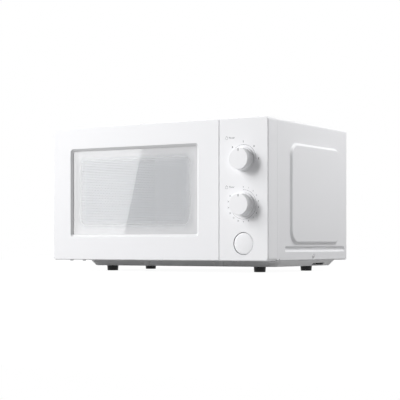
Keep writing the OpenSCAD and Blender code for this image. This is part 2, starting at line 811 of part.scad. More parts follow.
module waveguide_cover() color("wheat") place()
    translate([cavity_x1 - seat - 0.6, 0, 0])
        across(0.6) rounded(source_y - 37, feed_z - 5, source_y + 37, feed_z + feed_h + 5, 4);

module magnetron_frame() color("lightsteelblue") place() difference() {
    block([guide_x, source_y - yoke_half_y, source_z - yoke_half_z],
        [guide_x + yoke_w, source_y + yoke_half_y, source_z + yoke_half_z]);
    block([guide_x + yoke_t, source_y - yoke_half_y - over, source_z - yoke_half_z + yoke_t],
        [guide_x + yoke_w - yoke_t, source_y + yoke_half_y + over, source_z + yoke_half_z - yoke_t]);
    side_rod(guide_x - over, source_y, source_z, antenna_r + seat, yoke_t + 2 * over);
}

module magnetron_fins() color("silver") place() {
    fin_x0 = guide_x + yoke_t + 3.5;
    side_rod(guide_x + yoke_t + seat, source_y, source_z, 20, yoke_w - 2 * yoke_t - 2 * seat);
    for (i = [0:fin_n - 1])
        block([fin_x0 + fin_pitch * i, source_y - yoke_half_y + 3, source_z - yoke_half_z + yoke_t + seat],
            [fin_x0 + fin_pitch * i + 0.8, source_y + yoke_half_y - 3,
                source_z + yoke_half_z - yoke_t - seat]);
}

module magnetron_antenna() color("goldenrod") place() {
    side_rod(guide_x - 4, source_y, source_z, antenna_r, yoke_t + 4 + seat);
    side_rod(guide_x - 26, source_y, source_z, 7.5, 23);
}

module filter_box() color("gainsboro") place() {
    box_x = guide_x + yoke_w;
    block([box_x, source_y - 33, source_z - 30], [box_x + 20, source_y + 33, source_z + 30]);
    block([box_x + 5, source_y - 12, source_z - 37], [box_x + 15, source_y + 12, source_z - 30]);
}

module transformer_core() color("dimgray") place() difference() {
    block([core_x, core_y, pan_floor], [core_x + core_w, core_y + core_d, pan_floor + core_h]);
    for (s = [-1, 1])
        block([core_x + core_w / 2 + s * (leg_w + window_w) / 2 - window_w / 2, core_y - over,
                pan_floor + yoke_h],
            [core_x + core_w / 2 + s * (leg_w + window_w) / 2 + window_w / 2, core_y + core_d + over,
                pan_floor + core_h - yoke_h]);
}

module transformer_windings() color([0.65, 0.3, 0.12]) place() {
    x = core_x + core_w / 2;
    half = leg_w / 2 + window_w - seat;
    for (z = [0, 1])
        translate([0, 0, pan_floor + yoke_h + seat + z * 20.5])
            linear_extrude(19) difference() {
                rounded(x - half, core_y - winding_out, x + half, core_y + core_d + winding_out, 6);
                translate([x - leg_w / 2 - seat, core_y - seat])
                    square([leg_w + 2 * seat, core_d + 2 * seat]);
            }
}

module capacitor() color("lightgray") place() {
    translate([0, 0, pan_floor]) linear_extrude(can_h)
        rounded(can_x - can_w / 2, can_y - can_d / 2, can_x + can_w / 2, can_y + can_d / 2, can_d / 2 - 0.01);
    for (s = [-1, 1])
        block([can_x + s * 12 - 3, can_y - 0.4, pan_floor + can_h - over],
            [can_x + s * 12 + 3, can_y + 0.4, pan_floor + can_h + 9]);
}

module capacitor_clamp() color("silver") place() {
    end_x = can_x + can_w / 2 + seat;
    translate([0, 0, pan_floor + 30]) linear_extrude(12) difference() {
        rounded(can_x - can_w / 2 - seat - 1, can_y - can_d / 2 - seat - 1, end_x + 1,
            can_y + can_d / 2 + seat + 1, can_d / 2 + seat + 1 - 0.01);
        rounded(can_x - can_w / 2 - seat, can_y - can_d / 2 - seat, end_x,
            can_y + can_d / 2 + seat, can_d / 2 + seat - 0.01);
    }
    block([end_x + 0.2, can_y - 5, pan_floor], [end_x + 1.4, can_y + 5, pan_floor + 42]);
    block([end_x + 0.2, can_y - 5, pan_floor], [end_x + 12, can_y + 5, pan_floor + 1.2]);
}

module diode() color([0.15, 0.15, 0.15]) place() {
    y = can_y - 12;
    x = can_x + can_w / 2 + 14;
    block([x - 4, y - 14, pan_floor], [x + 4, y, pan_floor + 1]);
    rod(x, y - 13, pan_floor + 5, 4, 12);
    block([x - 1, y - 13, pan_floor], [x + 1, y - 1, pan_floor + 5]);
}

// ---- Fan, duct and lamp ----

module fan_bracket() color("gainsboro") place() difference() {
    union() {
        block([fan_x - bracket_half, fan_y - 4, source_z - bracket_half],
            [fan_x + bracket_half, fan_y - 2, source_z + bracket_half]);
        rod(fan_x, fan_y - 4, source_z, fan_r + 4, rear_y - sheet - seat - fan_y + 4);
        for (s = [-1, 1])
            block([fan_x + s * 20 - 3, motor_y + motor_t, source_z - 6], [fan_x + s * 20 + 3, fan_y - 3, source_z + 6]);
        block([fan_x - fan_r - 3, fan_y - 4, source_z - 6], [fan_x + fan_r + 3, fan_y - 2, source_z + 6]);
    }
    difference() {
        rod(fan_x, fan_y - 4 - over, source_z, fan_r + 2, rear_y - fan_y + 10);
        block([fan_x - fan_r - 5, fan_y - 5, source_z - 6], [fan_x + fan_r + 5, fan_y - 2, source_z + 6]);
    }
    rod(fan_x, fan_y - 6, source_z, 5, 10);
}

module fan_motor() color("dimgray") place() difference() {
    union() {
        block([fan_x - 25, motor_y, source_z - 32], [fan_x + 25, motor_y + motor_t, source_z + 22]);
        block([fan_x - 16, motor_y - 7, source_z - 30], [fan_x + 16, motor_y + motor_t - 0.5 + 3, source_z - 18]);
        rod(fan_x, motor_y - 8, source_z, 8, motor_t + 11);
    }
    rod(fan_x, motor_y - 8 - over, source_z, 1.5 + run_fit, motor_t + 14);
}

module fan_shaft() color("silver") place()
    rod(fan_x, motor_y - 10, source_z, 1.5, fan_y + 14 - motor_y + 10);

module fan_blade() color("white") place() translate([fan_x, fan_y, source_z]) difference() {
    union() {
        rod(0, 1, 0, 9, 14);
        for (i = [0:4])
            rotate([0, 72 * i, 0])
                translate([7, 8, 0]) rotate([28, 0, 0]) block([0, -0.8, -11], [fan_r - 9, 0.8, 11]);
    }
    rod(0, 0, 0, 1.52, 20);
}

module air_duct() color("lightgray") place() {
    duct_x = guide_x + yoke_w / 2 + 9;
    y0 = source_y + yoke_half_y + 0.5;
    translate([duct_x, y0, source_z])
        into(motor_y - 9 - y0)
            difference() {
                rounded(-duct_half_x + 2, -yoke_half_z, duct_half_x - 2, yoke_half_z, 4);
                rounded(-duct_half_x + 3.5, -yoke_half_z + 1.5, duct_half_x - 3.5, yoke_half_z - 1.5, 2.5);
            }
}

lamp_y = cavity_y1 - 70;
lamp_z = cavity_z1 - 26;

module lamp_holder() color("gainsboro") place() difference() {
    union() {
        block([wall_x + 19, lamp_y - 14, lamp_z - 14], [wall_x + 21, lamp_y + 14, lamp_z + 14]);
        for (s = [-1, 1])
            block([wall_x, lamp_y + s * 13 - 1, lamp_z - 14], [wall_x + 21, lamp_y + s * 13 + 1, lamp_z + 14]);
    }
    side_rod(wall_x + 18, lamp_y, lamp_z, 5 + seat, 5);
}

module oven_lamp() color([1, 0.95, 0.8, 0.6]) place() {
    translate([wall_x + 10.5, lamp_y, lamp_z]) rotate([0, 90, 0]) {
        sphere(9);
        cylinder(h = 14, r = 5);
    }
}

module thermal_cutouts() color("black") place() {
    translate([cavity_x, cavity_y + 80, cavity_z1 + sheet]) cylinder(h = 6, r = 8);
    translate([guide_x + yoke_w / 2, source_y, source_z + yoke_half_z]) cylinder(h = 6, r = 8);
}

module noise_filter_board() color("seagreen") place() {
    x0 = wall_x + 8;
    block([x0, board_y - 1.6, 22], [x0 + 88, board_y, 62]);
    for (x = [x0 + 5, x0 + 83], z = [27, 57])
        rod(x, board_y - 0.5, z, 3, rear_y - sheet - seat - board_y + 0.5);
    rod(x0 + 60, board_y - 16, 42, 12, 15);
    block([x0 + 10, board_y - 14, 30], [x0 + 36, board_y - 1, 54]);
}

module cord_bushing() color("black") place() difference() {
    union() {
        rod(bushing_x, rear_y - sheet - 8, bushing_z, bushing_r - seat, sheet + 8);
        rod(bushing_x, rear_y, bushing_z, bushing_r + 2.5, sheet + head_h);
        rod(bushing_x, rear_y - sheet - 6, bushing_z, bushing_r + 2, 5.7);
    }
    rod(bushing_x, rear_y - 12, bushing_z, cord_r, 20);
}

module component_screws() color("silver") place() {
    for (y = [core_y + 8, core_y + core_d - 8], x = [core_x + 8, core_x + core_w - 8])
        translate([x, y, pan_floor + core_h]) rotate([180, 0, 0]) translate([0, 0, -head_h]) cylinder(h = head_h, r = head_r);
    for (s = [-1, 1])
        translate([cavity_x + s * motor_ear, cavity_y, motor_top - 2.3 - head_h]) cylinder(h = head_h, r = head_r);
}

// ---- Turntable ----

module turntable_motor() color("silver") place() translate([cavity_x, cavity_y, motor_top]) difference() {
    union() {
        translate([0, 0, -seat - motor_h]) cylinder(h = motor_h, r = motor_r);
        translate([-motor_ear - 5, -6, -seat - 2]) cube([2 * motor_ear + 10, 12, 2]);
    }
    translate([0, 0, -10]) cylinder(h = 11, r = drive_r + run_fit);
}

module drive_shaft() color("silver") place()
    translate([cavity_x, cavity_y, motor_top - 9.5]) cylinder(h = tray_z - 3 - motor_top + 9.5, r = drive_r);

module drive_coupler() color("whitesmoke") place() translate([cavity_x, cavity_y, 0]) difference() {
    union() {
        translate([0, 0, cavity_low - dip_d + 1]) cylinder(h = tray_z - seat - track_z - 1, r = coupler_r);
        for (i = [0:2])
            rotate([0, 0, 120 * i])
                translate([0, -lobe_w / 2, tray_z - seat - lug_h]) cube([lobe_r, lobe_w, lug_h]);
    }
    translate([0, 0, track_z]) cylinder(h = tray_z - 2.5 - track_z, r = drive_r + 0.02);
}

module glass_tray() color([0.8, 0.9, 0.9, 0.4]) place() translate([cavity_x, cavity_y, tray_z]) {
    rim = tray_r - 17;
    rotate_extrude()
        polygon([[0, 0], [rim, 0], [tray_r, 9], [tray_r, 12], [tray_r - 3, 12], [rim - 2, tray_t], [0, tray_t]]);
    for (i = [0:2])
        rotate([0, 0, 120 * i + 60])
            translate([lobe_r - 9, -5, -lug_h + 1]) cube([7, 10, lug_h]);
}

roller_turns = [90, 210, 330];

module roller_ring() color("whitesmoke") place() translate([cavity_x, cavity_y, roller_z]) {
    rotate_extrude() translate([ring_r - ring_w, -3]) square([ring_w, 6]);
    for (a = roller_turns)
        rotate([0, 0, a])
            side_rod(ring_r - over, 0, 0, axle_r, roller_w + 2 + over);
}

module roller(i) color("white") place() translate([cavity_x, cavity_y, roller_z])
    rotate([0, 0, roller_turns[i]]) difference() {
        side_rod(track_r - roller_w / 2, 0, 0, roller_r, roller_w);
        side_rod(track_r - roller_w / 2 - over, 0, 0, axle_r + run_fit, roller_w + 2 * over);
    }

// ---- Door ----

// What a round corner of radius r takes off the door's rear left edge
module rear_corner(r)
    translate([hinge_x, front_t - hinge_side, -over])
        linear_extrude(front_h + 2 * over)
            difference() {
                translate([-hinge_side - over, 0]) square([hinge_side + over, hinge_side + over]);
                circle(r);
            }

module door_frame() color("white") place() difference() {
    union() {
        difference() {
            soft_slab(left_x, 0, door_x + 2 * front_r, front_h, front_t, front_r, front_edge);
            block([door_x, -over, -over], [door_x + 3 * front_r, front_t + over, front_h + over]);
            rear_corner(hinge_side);
            difference() {
                translate([0, wall, 0])
                    into(front_t)
                        rounded(left_x + wall, wall, door_x - wall, front_h - wall, front_r - wall);
                rear_corner(hinge_side - wall);
            }
        }
        translate([0, over, 0])
            into(recess_d - over)
                rounded(window_x0 - 6, window_sill - 6, window_x1 + 6, window_z1 + 6, window_r + 6);
        for (z = [over, front_h - boss_h])
            translate([hinge_x, hinge_y, z]) cylinder(h = boss_h - over, r = boss_r);
        for (z = [lower_hook_z - 8, upper_hook_z + hook_h + 2])
            block([hook_x + hook_w / 2 + seat, hook_y0, z], [door_x - over, hook_y0 + 10, z + 6]);
        block([hook_x - hook_w / 2, hook_y0, spring_z0 + spring_h + seat],
            [door_x - over, hook_y0 + 8, spring_z0 + spring_h + seat + 2]);
    }
    translate([0, -over, 0])
        into(recess_d + 2 * over)
            rounded(window_x0 + bevel_w, window_sill + bevel_w, window_x1 - bevel_w, window_z1 - bevel_w,
                window_r - bevel_w + 0.5);
    rotate([90, 0, 0]) mirror([0, 0, 1])
        pressing(window_x0, window_sill, window_x1, window_z1, window_r, bevel_w, bevel_d, over);
    for (z = [arm_z - 0.4, front_h - arm_z - hinge_t - 0.4])
        block([left_x - over, hinge_y - arm_w / 2 - 3.5, z],
            [hinge_x + arm_w / 2 + 2.5, front_t + over, z + hinge_t + 0.8]);
    for (z = [0.9, front_h - boss_h - over])
        translate([hinge_x, hinge_y, z]) cylinder(h = boss_h + over - 0.9, r = pin_r + run_fit);
}

module window_pane() color([0.85, 0.85, 0.85, 0.4]) place()
    translate([0, pane_y, 0])
        into(pane_t)
            rounded(window_x0 - pane_lap, window_sill - pane_lap, window_x1 + pane_lap,
                window_z1 + pane_lap, window_r + 2);

// Outline of the dish behind the window, grown by g
module dish_outline(g)
    rounded(window_x0 - pane_lap + 1 - g, window_sill - pane_lap + 1 - g, window_x1 + pane_lap - 1 + g,
        window_z1 + pane_lap - 1 + g, dish_r + g);

// Outline of the cavity's mouth, grown by g
module mouth_outline(g)
    rounded(cavity_x0 - g, cavity_low - g, cavity_x1 + g, cavity_z1 + g, cavity_r + g);

module door_plate() color("lightgray") place() {
    translate([0, screen_y, 0]) into(sheet) dish_outline(sheet);
    translate([0, screen_y, 0]) into(flange_y - screen_y) difference() {
        dish_outline(sheet);
        dish_outline(0);
    }
    translate([0, flange_y - sheet, 0]) into(sheet) difference() {
        mouth_outline(seal_lap);
        dish_outline(0);
    }
    for (g = [seal_lap, seal_lap + choke_w])
        translate([0, choke_y, 0]) into(flange_y - choke_y) difference() {
            mouth_outline(g);
            mouth_outline(g - sheet);
        }
    translate([0, choke_y, 0]) into(sheet) difference() {
        mouth_outline(seal_lap + choke_w);
        mouth_outline(seal_lap - sheet);
    }
}

module inner_film() color([0.9, 0.9, 0.9, 0.4]) place()
    translate([0, screen_y + sheet, 0]) into(0.5) dish_outline(-seat);

module choke_cover() color("whitesmoke") place() {
    translate([0, flange_y, 0]) into(1) difference() {
        mouth_outline(seal_lap + choke_w + 1.2);
        mouth_outline(2);
    }
    translate([0, flange_y - 4, 0]) into(4) difference() {
        mouth_outline(seal_lap + choke_w - sheet - seat);
        mouth_outline(seal_lap + seat);
    }
}

module latch_hooks() color("gainsboro") place() {
    x0 = hook_x - hook_w / 2;
    x1 = hook_x + hook_w / 2;
    block([x0, hook_y0, lower_hook_z - 8], [x1, hook_y0 + 8, spring_z0 - seat]);
    for (z = hook_zs) {
        block([x0, hook_y0, z], [x1, hook_y1, z + hook_h]);
        block([x0, hook_y1 - catch_l, z - catch_h], [x1, hook_y1, z + over]);
    }
}

module latch_spring() color("silver") place()
    translate([hook_x, hook_y0 + 4, spring_z0]) coil(1.8, 0.4, spring_h, 5);

// ---- Assembly ----

outer_shell();
rear_panel();
base_plate();
front_plate();
oven_cavity();
control_fascia();
feet();
foot_screws();
cabinet_screws();
base_screws();
upper_hinge();
lower_hinge();
waveguide();
waveguide_cover();
magnetron_frame();
magnetron_fins();
magnetron_antenna();
filter_box();
transformer_core();
transformer_windings();
capacitor();
capacitor_clamp();
diode();
fan_bracket();
fan_motor();
fan_shaft();
fan_blade();
air_duct();
lamp_holder();
oven_lamp();
turntable_motor();
drive_shaft();
drive_coupler();
glass_tray();
roller_ring();
roller(0);  // roller_1
roller(1);  // roller_2
roller(2);  // roller_3
thermal_cutouts();
noise_filter_board();
latch_board();
interlock_switches();
power_selector();
timer_unit();
cord_bushing();
component_screws();
door_frame();
window_pane();
door_plate();
inner_film();
choke_cover();
latch_hooks();
latch_spring();
power_knob();
power_shaft();
timer_knob();
timer_shaft();
door_button();
button_spring();
release_lever();
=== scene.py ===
# %% [markdown]
# # Countertop microwave oven
# The oven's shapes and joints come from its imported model, which is loaded as a fixed frame.
# This lesson gives it its looks: new pieces where a plain solid isn't fine enough, a finish on every
# surface, the light and the camera. Blender works in metres. The pieces are given in millimetres,
# which `at` and `MM` turn into metres; the camera, the lights and the patterns are in metres.

import bpy
import bmesh
import json
from math import cos, pi, radians, sin, sqrt
from mathutils import Matrix, Vector


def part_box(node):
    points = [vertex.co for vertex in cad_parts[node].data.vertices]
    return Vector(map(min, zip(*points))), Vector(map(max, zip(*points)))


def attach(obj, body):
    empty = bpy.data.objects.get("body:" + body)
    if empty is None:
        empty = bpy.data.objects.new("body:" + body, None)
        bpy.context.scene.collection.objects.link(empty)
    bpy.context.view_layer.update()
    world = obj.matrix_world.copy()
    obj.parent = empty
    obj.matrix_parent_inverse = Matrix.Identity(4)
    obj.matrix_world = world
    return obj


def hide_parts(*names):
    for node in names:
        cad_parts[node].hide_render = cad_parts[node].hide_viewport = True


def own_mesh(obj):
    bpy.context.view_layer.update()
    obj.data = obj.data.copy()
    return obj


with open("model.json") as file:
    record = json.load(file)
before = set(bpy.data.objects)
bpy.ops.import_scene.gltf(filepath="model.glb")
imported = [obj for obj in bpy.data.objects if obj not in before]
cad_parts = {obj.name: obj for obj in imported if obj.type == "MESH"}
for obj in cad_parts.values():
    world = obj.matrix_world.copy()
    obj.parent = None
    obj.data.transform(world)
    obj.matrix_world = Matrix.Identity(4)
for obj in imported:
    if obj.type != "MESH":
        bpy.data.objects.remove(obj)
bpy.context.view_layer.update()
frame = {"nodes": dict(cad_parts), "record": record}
nodes = frame["nodes"]
body_of_node = {n: b for b, members in frame["record"]["behaviour"]["bodies"].items() for n in members}
slot_of_node = {p["node"]: p["material_slot"] for p in frame["record"]["subparts"]}

# %% [markdown]
# ## Camera
# The oven is seen from its right front, with the lens almost level with its feet. The lens is long, so
# that the edges stay nearly parallel. The camera is kept level and the picture is shifted up instead,
# because a tilted camera would make the upright edges lean together.

# %% Camera
bpy.ops.object.select_all(action="DESELECT")
bpy.ops.object.camera_add(
    location=(1.20962, -1.98151, 0.04762), rotation=(radians(90), 0, radians(31.352))
)
camera = bpy.context.object
camera.name = "camera"
camera.data.sensor_width = 36
camera.data.lens = 111.706
camera.data.shift_y = 0.11225
camera.data.clip_end = 50
bpy.context.scene.camera = camera
print("camera", tuple(camera.location), camera.data.lens)

# %% [markdown]
# ## Places
# The moulded front is the oven's datum. Its lower middle point is taken from the frame, and `at` turns
# millimetres from that point into a place: x to the right, y into the oven and z up.

# %% Places
MM = 0.001
datum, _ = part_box("door_frame")
FRONT_Y, BASE_Z = datum.y, datum.z


def at(x, y, z):
    return Vector((x * MM, FRONT_Y + y * MM, BASE_Z + z * MM))


def reach(node):
    """A node's low and high corners in millimetres from the datum."""
    low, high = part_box(node)
    return [tuple((p - at(0, 0, 0)) / MM) for p in (low, high)]


for node in ("door_frame", "control_fascia", "outer_shell"):
    print(node, [[round(value, 2) for value in corner] for corner in reach(node)])

# %% [markdown]
# ## Selecting and shaping
# Blender's edit operators act on whatever is selected, so each helper first deselects everything and
# then selects by place. `only` makes one object active, `pick_all` opens it with everything selected,
# and `pick` selects the points, edges or faces that pass a test.

# %% Selecting
def only(obj):
    bpy.ops.object.select_all(action="DESELECT")
    obj.select_set(True)
    bpy.context.view_layer.objects.active = obj
    return obj


def pick_all(obj, kind="VERT"):
    only(obj)
    bpy.ops.object.mode_set(mode="EDIT")
    bpy.ops.mesh.select_mode(type=kind)
    bpy.ops.mesh.select_all(action="SELECT")


def pick(obj, kind, test):
    pick_all(obj, kind)
    bpy.ops.mesh.select_all(action="DESELECT")
    mesh = bmesh.from_edit_mesh(obj.data)
    parts = {"VERT": mesh.verts, "EDGE": mesh.edges, "FACE": mesh.faces}[kind]
    found = [part for part in parts if test(part)]
    for part in found:
        part.select_set(True)
    bmesh.update_edit_mesh(obj.data)
    return len(found)


def leave_edit():
    bpy.ops.object.mode_set(mode="OBJECT")


def middle(part):
    return sum((v.co for v in part.verts), Vector()) / len(part.verts)


def along(edge, axis):
    run = edge.verts[1].co - edge.verts[0].co
    return abs(run[axis]) > 0.999 * run.length


def settle(obj):
    only(obj)
    bpy.ops.object.transform_apply(location=True, rotation=True, scale=True)
    return obj


print("selecting ready")

# %% [markdown]
# Most pieces start as a block between two corners, whose edges are bevelled round, or whose faces are
# inset and pushed in small steps, as a press tool would do it.

# %% Blocks
def slab(name, low, high):
    low, high = at(*low), at(*high)
    bpy.ops.object.select_all(action="DESELECT")
    bpy.ops.mesh.primitive_cube_add(size=1, location=(low + high) / 2)
    obj = bpy.context.object
    obj.name = name
    obj.scale = high - low
    return settle(obj)


def round_edges(obj, test, width, segments):
    pick(obj, "EDGE", test)
    bpy.ops.mesh.bevel(offset=width * MM, segments=segments, affect="EDGES")
    leave_edit()
    return obj


def rounded_slab(name, low, high, axis, radius, segments=8):
    return round_edges(slab(name, low, high), lambda edge: along(edge, axis), radius, segments)


def stamp(obj, axis, side, steps):
    """Draws one side of a block out, or in, in steps of (inwards, outwards), as a press tool does."""
    pick(obj, "FACE", lambda face: face.normal[axis] * side > 0.99)
    for inwards, outwards in steps:
        bpy.ops.mesh.inset(thickness=inwards * MM, depth=outwards * MM)
    leave_edit()
    return obj


print("blocks ready")

# %% [markdown]
# A round piece starts as a cylinder between its first two rings. Each further ring is drawn out of the
# end face and scaled about the axis, so that the list of rings reads like the profile on a lathe.

# %% Turned pieces
def turned(name, place, axis, rings, segments=72):
    """A turned piece, closed at both ends: rings of (radius, travel along the axis)."""
    way = Vector([float(axis == a) for a in "xyz"])
    turn = {"x": (0, pi / 2, 0), "y": (pi / 2, 0, 0), "z": (0, 0, 0)}[axis]
    (radius, start), (_, travel) = rings[:2]
    bpy.ops.object.select_all(action="DESELECT")
    bpy.ops.mesh.primitive_cylinder_add(
        vertices=segments, radius=radius * MM, depth=abs(travel - start) * MM,
        location=place + way * (start + travel) / 2 * MM, rotation=turn,
    )
    obj = settle(bpy.context.object)
    obj.name = name
    side = 1 if travel > start else -1
    pick(obj, "FACE", lambda face: face.normal.dot(way) * side > 0.99)
    for count, (r, t) in enumerate(rings[1:]):
        if count:
            bpy.ops.mesh.extrude_region_move(TRANSFORM_OT_translate={"value": way * (t - travel) * MM})
        size = [1 if a == axis else r / radius for a in "xyz"]
        bpy.ops.transform.resize(value=size, center_override=place + way * t * MM)
        radius, travel = r, t
    leave_edit()
    return obj


print("turning ready")

# %% [markdown]
# Modifiers finish a piece, and each is applied at once, so that a piece ends as a plain mesh.
# `combine` adds or cuts with the exact solver, which also copes with faces that touch, `soften` rounds
# the sharp edges and `polish` sets the shading.

# %% Modifiers
def modify(obj, kind, **settings):
    only(obj)
    modifier = obj.modifiers.new(kind.lower(), kind)
    for key, value in settings.items():
        setattr(modifier, key, value)
    bpy.ops.object.modifier_apply(modifier=modifier.name)
    return obj


def combine(obj, other, operation="DIFFERENCE"):
    modify(obj, "BOOLEAN", operation=operation, object=other, solver="EXACT")
    bpy.data.objects.remove(other)
    return obj


def soften(obj, width, segments=2, angle=30):
    return modify(
        obj, "BEVEL", width=width * MM, segments=segments, limit_method="ANGLE",
        angle_limit=radians(angle), use_clamp_overlap=True,
    )


def polish(obj, angle=35):
    """Shades curved faces smooth, and keeps flat faces flat right up to their edges."""
    only(obj)
    bpy.ops.object.shade_smooth_by_angle(angle=radians(angle))
    return modify(obj, "WEIGHTED_NORMAL", weight=90, keep_sharp=True)


print("modifiers ready")

# %% [markdown]
# What repeats is made once. `duplicate` gives each copy a mesh of its own, and `join` makes several
# meshes one piece.

# %% Joining and copying
def join(name, objs):
    bpy.ops.object.select_all(action="DESELECT")
    for obj in objs:
        obj.select_set(True)
    bpy.context.view_layer.objects.active = objs[0]
    if len(objs) > 1:
        bpy.ops.object.join()
    objs[0].name = name
    return objs[0]


def duplicate(obj, name, move):
    """A copy with its own mesh, moved by millimetres."""
    copy = obj.copy()
    copy.data = obj.data.copy()
    copy.name = name
    bpy.context.scene.collection.objects.link(copy)
    copy.location = Vector(move) * MM
    return settle(copy)


print("copying ready")

# %% [markdown]
# ## Shader arithmetic
# A pattern is a small sum. `Wire` wraps a node's socket so that the sum is written as Python, and each
# operator adds the Math node it stands for.

# %% Wires
class Wire:
    def __init__(self, finish, socket):
        self.finish, self.socket = finish, socket

    def math(self, operation, *values):
        return self.finish.add(
            "ShaderNodeMath", {"operation": operation}, dict(enumerate(values))
        )

    def __add__(self, other):
        return self.math("ADD", self, other)

    def __sub__(self, other):
        return self.math("SUBTRACT", self, other)

    def __rsub__(self, other):
        return self.math("SUBTRACT", other, self)

    def __mul__(self, other):
        return self.math("MULTIPLY", self, other)

    def __gt__(self, other):
        return self.math("GREATER_THAN", self, other)

    def __lt__(self, other):
        return self.math("LESS_THAN", self, other)

    __radd__ = __add__
    __rmul__ = __mul__


print("wires ready")

# %% [markdown]
# ## Finishes
# `Finish` starts a material with one Principled shader and adds any other node from its type, its
# settings and its sockets. Its patterns read Object coordinates, so they stay put on a moving piece.

# %% Finishes
class Finish:
    def __init__(self, name, color, roughness, metallic=0.0, **sockets):
        self.material = bpy.data.materials.new(name)
        self.material.use_nodes = True
        self.tree = self.material.node_tree
        self.shader = self.tree.nodes["Principled BSDF"]
        self.output = self.tree.nodes["Material Output"]
        values = {"Base Color": (*color, 1), "Roughness": roughness, "Metallic": metallic}
        values.update({key.replace("_", " "): value for key, value in sockets.items()})
        for key, value in values.items():
            self.put(self.shader, key, value)
        self.material.diffuse_color = (*color, 1)

    def put(self, node, key, value):
        if isinstance(value, Wire):
            self.tree.links.new(value.socket, node.inputs[key])
        else:
            node.inputs[key].default_value = value

    def add(self, kind, settings=None, sockets=None, output=0):
        node = self.tree.nodes.new(kind)
        for key, value in (settings or {}).items():
            setattr(node, key, value)
        for key, value in (sockets or {}).items():
            self.put(node, key, value)
        return Wire(self, node.outputs[output])

    def place(self):
        return self.add("ShaderNodeTexCoord", output="Object")

    def noise(self, scale, detail=3.0, stretch=None):
        where = self.place()
        if stretch:
            where = self.add("ShaderNodeMapping", {}, {"Vector": where, "Scale": stretch})
        return self.add("ShaderNodeTexNoise", {}, {"Vector": where, "Scale": scale, "Detail": detail})

    def tone(self, mask, low, high):
        mixed = self.add(
            "ShaderNodeMix", {"data_type": "RGBA"}, {0: mask, 6: (*low, 1), 7: (*high, 1)}, output=2
        )
        self.put(self.shader, "Base Color", mixed)
        return self

    def rough(self, wire):
        self.put(self.shader, "Roughness", wire)
        return self

    def bump(self, height, strength, distance):
        wire = self.add(
            "ShaderNodeBump", {}, {"Height": height, "Strength": strength, "Distance": distance}
        )
        self.put(self.shader, "Normal", wire)
        return self


def darker(color, share):
    return [channel * share for channel in color]


print("finishes ready")

# %% [markdown]
# ## White plastic
# The door, the panel and the knobs are moulded from white ABS with a satin skin. A mould's polish is
# never perfect, so the gloss drifts a little from place to place and the skin has a very fine peel.
# A flat colour would look like paper; two noises, a broad one on the gloss and a fine one as bump,
# are enough for plastic.

# %% White plastic
def moulded(name, color, roughness, peel=0.05):
    finish = Finish(name, color, roughness)
    broad = finish.noise(9.0, 2.0)
    fine = finish.noise(1400.0, 2.0)
    finish.tone(broad, darker(color, 0.985), color)
    finish.rough(roughness - 0.04 + 0.08 * broad)
    return finish.bump(fine, peel, 0.00004)


white_plastic = moulded("white_plastic", (0.900, 0.902, 0.920), 0.45)
knob_plastic = moulded("knob_plastic", (0.925, 0.927, 0.945), 0.42, 0.03)
# A darker grey for the slopes round the window: painted shade, since the slopes are the frame's white
# plastic.
painted_slope_shade = moulded("painted_slope_shade", (0.70, 0.702, 0.715), 0.42)
pale_plastic = moulded("pale_plastic", (0.74, 0.74, 0.73), 0.5, 0.1)
dark_plastic = moulded("dark_plastic", (0.03, 0.03, 0.032), 0.5, 0.1)
ink = moulded("ink", (0.22, 0.22, 0.23), 0.6, 0.1)
pointer_ink = moulded("pointer_ink", (0.30, 0.30, 0.31), 0.5, 0.1)
print("plastics ready")

# %% [markdown]
# ## Painted steel
# The cabinet is folded from sheet steel and powder coated, which leaves a skin like orange peel. Two
# bumps of different size, laid on each other, keep the peel from looking like a pattern.

# %% Painted steel
def painted(name, color, roughness, peel=0.1):
    finish = Finish(name, color, roughness)
    broad = finish.noise(14.0, 3.0)
    coarse = finish.noise(420.0, 2.0)
    fine = finish.noise(1500.0, 1.0)
    finish.tone(broad, darker(color, 0.98), color)
    finish.rough(roughness - 0.05 + 0.1 * broad)
    return finish.bump(coarse * 0.7 + fine * 0.3, peel, 0.00005)


cabinet_paint = painted("cabinet_paint", (0.895, 0.897, 0.915), 0.5)
base_paint = painted("base_paint", (0.86, 0.86, 0.87), 0.36)
cavity_enamel = painted("cavity_enamel", (0.80, 0.80, 0.795), 0.4, 0.16)
screen_paint = painted("screen_paint", (0.86, 0.862, 0.88), 0.5, 0.06)
print("paints ready")

# %% [markdown]
# ## Bare metals
# Rolled sheet shows fine lines along its rolling direction. Noise that is stretched a hundred times
# along one axis gives such lines, and it drives the gloss more than the colour. Galvanised sheet also
# shows its zinc crystals, so its tone follows a second, blotchy noise.

# %% Bare metals
def rolled(name, color, roughness, stretch=(6, 900, 900), depth=0.25, metallic=1.0):
    finish = Finish(name, color, roughness, metallic)
    lines = finish.noise(1.0, 4.0, stretch)
    cloud = finish.noise(60.0, 4.0)
    finish.tone(cloud, darker(color, 0.86), color)
    finish.rough(roughness - depth / 2 + depth * lines)
    return finish.bump(lines, 0.15, 0.00003)


galvanised = rolled("galvanised", (0.62, 0.63, 0.64), 0.38)
aluminium = rolled("aluminium", (0.78, 0.78, 0.79), 0.3)
screw_steel = rolled("screw_steel", (0.30, 0.30, 0.31), 0.35, (900, 900, 60))
bright_screw = rolled("bright_screw", (0.46, 0.46, 0.47), 0.38, (900, 900, 60))
copper = rolled("copper", (0.70, 0.36, 0.18), 0.35, (900, 900, 900))
core_iron = rolled("core_iron", (0.16, 0.16, 0.17), 0.55, (4, 1800, 4), 0.3, 0.6)
spring_steel = rolled("spring_steel", (0.58, 0.58, 0.6), 0.28, (900, 900, 900))
print("metals ready")

# %% [markdown]
# ## Rubber, mica and circuit board
# Rubber scatters light and shows a fine grain. Mica is a pressed sheet of flakes. The board has a
# green lacquer over its copper, seen here as paler patches.

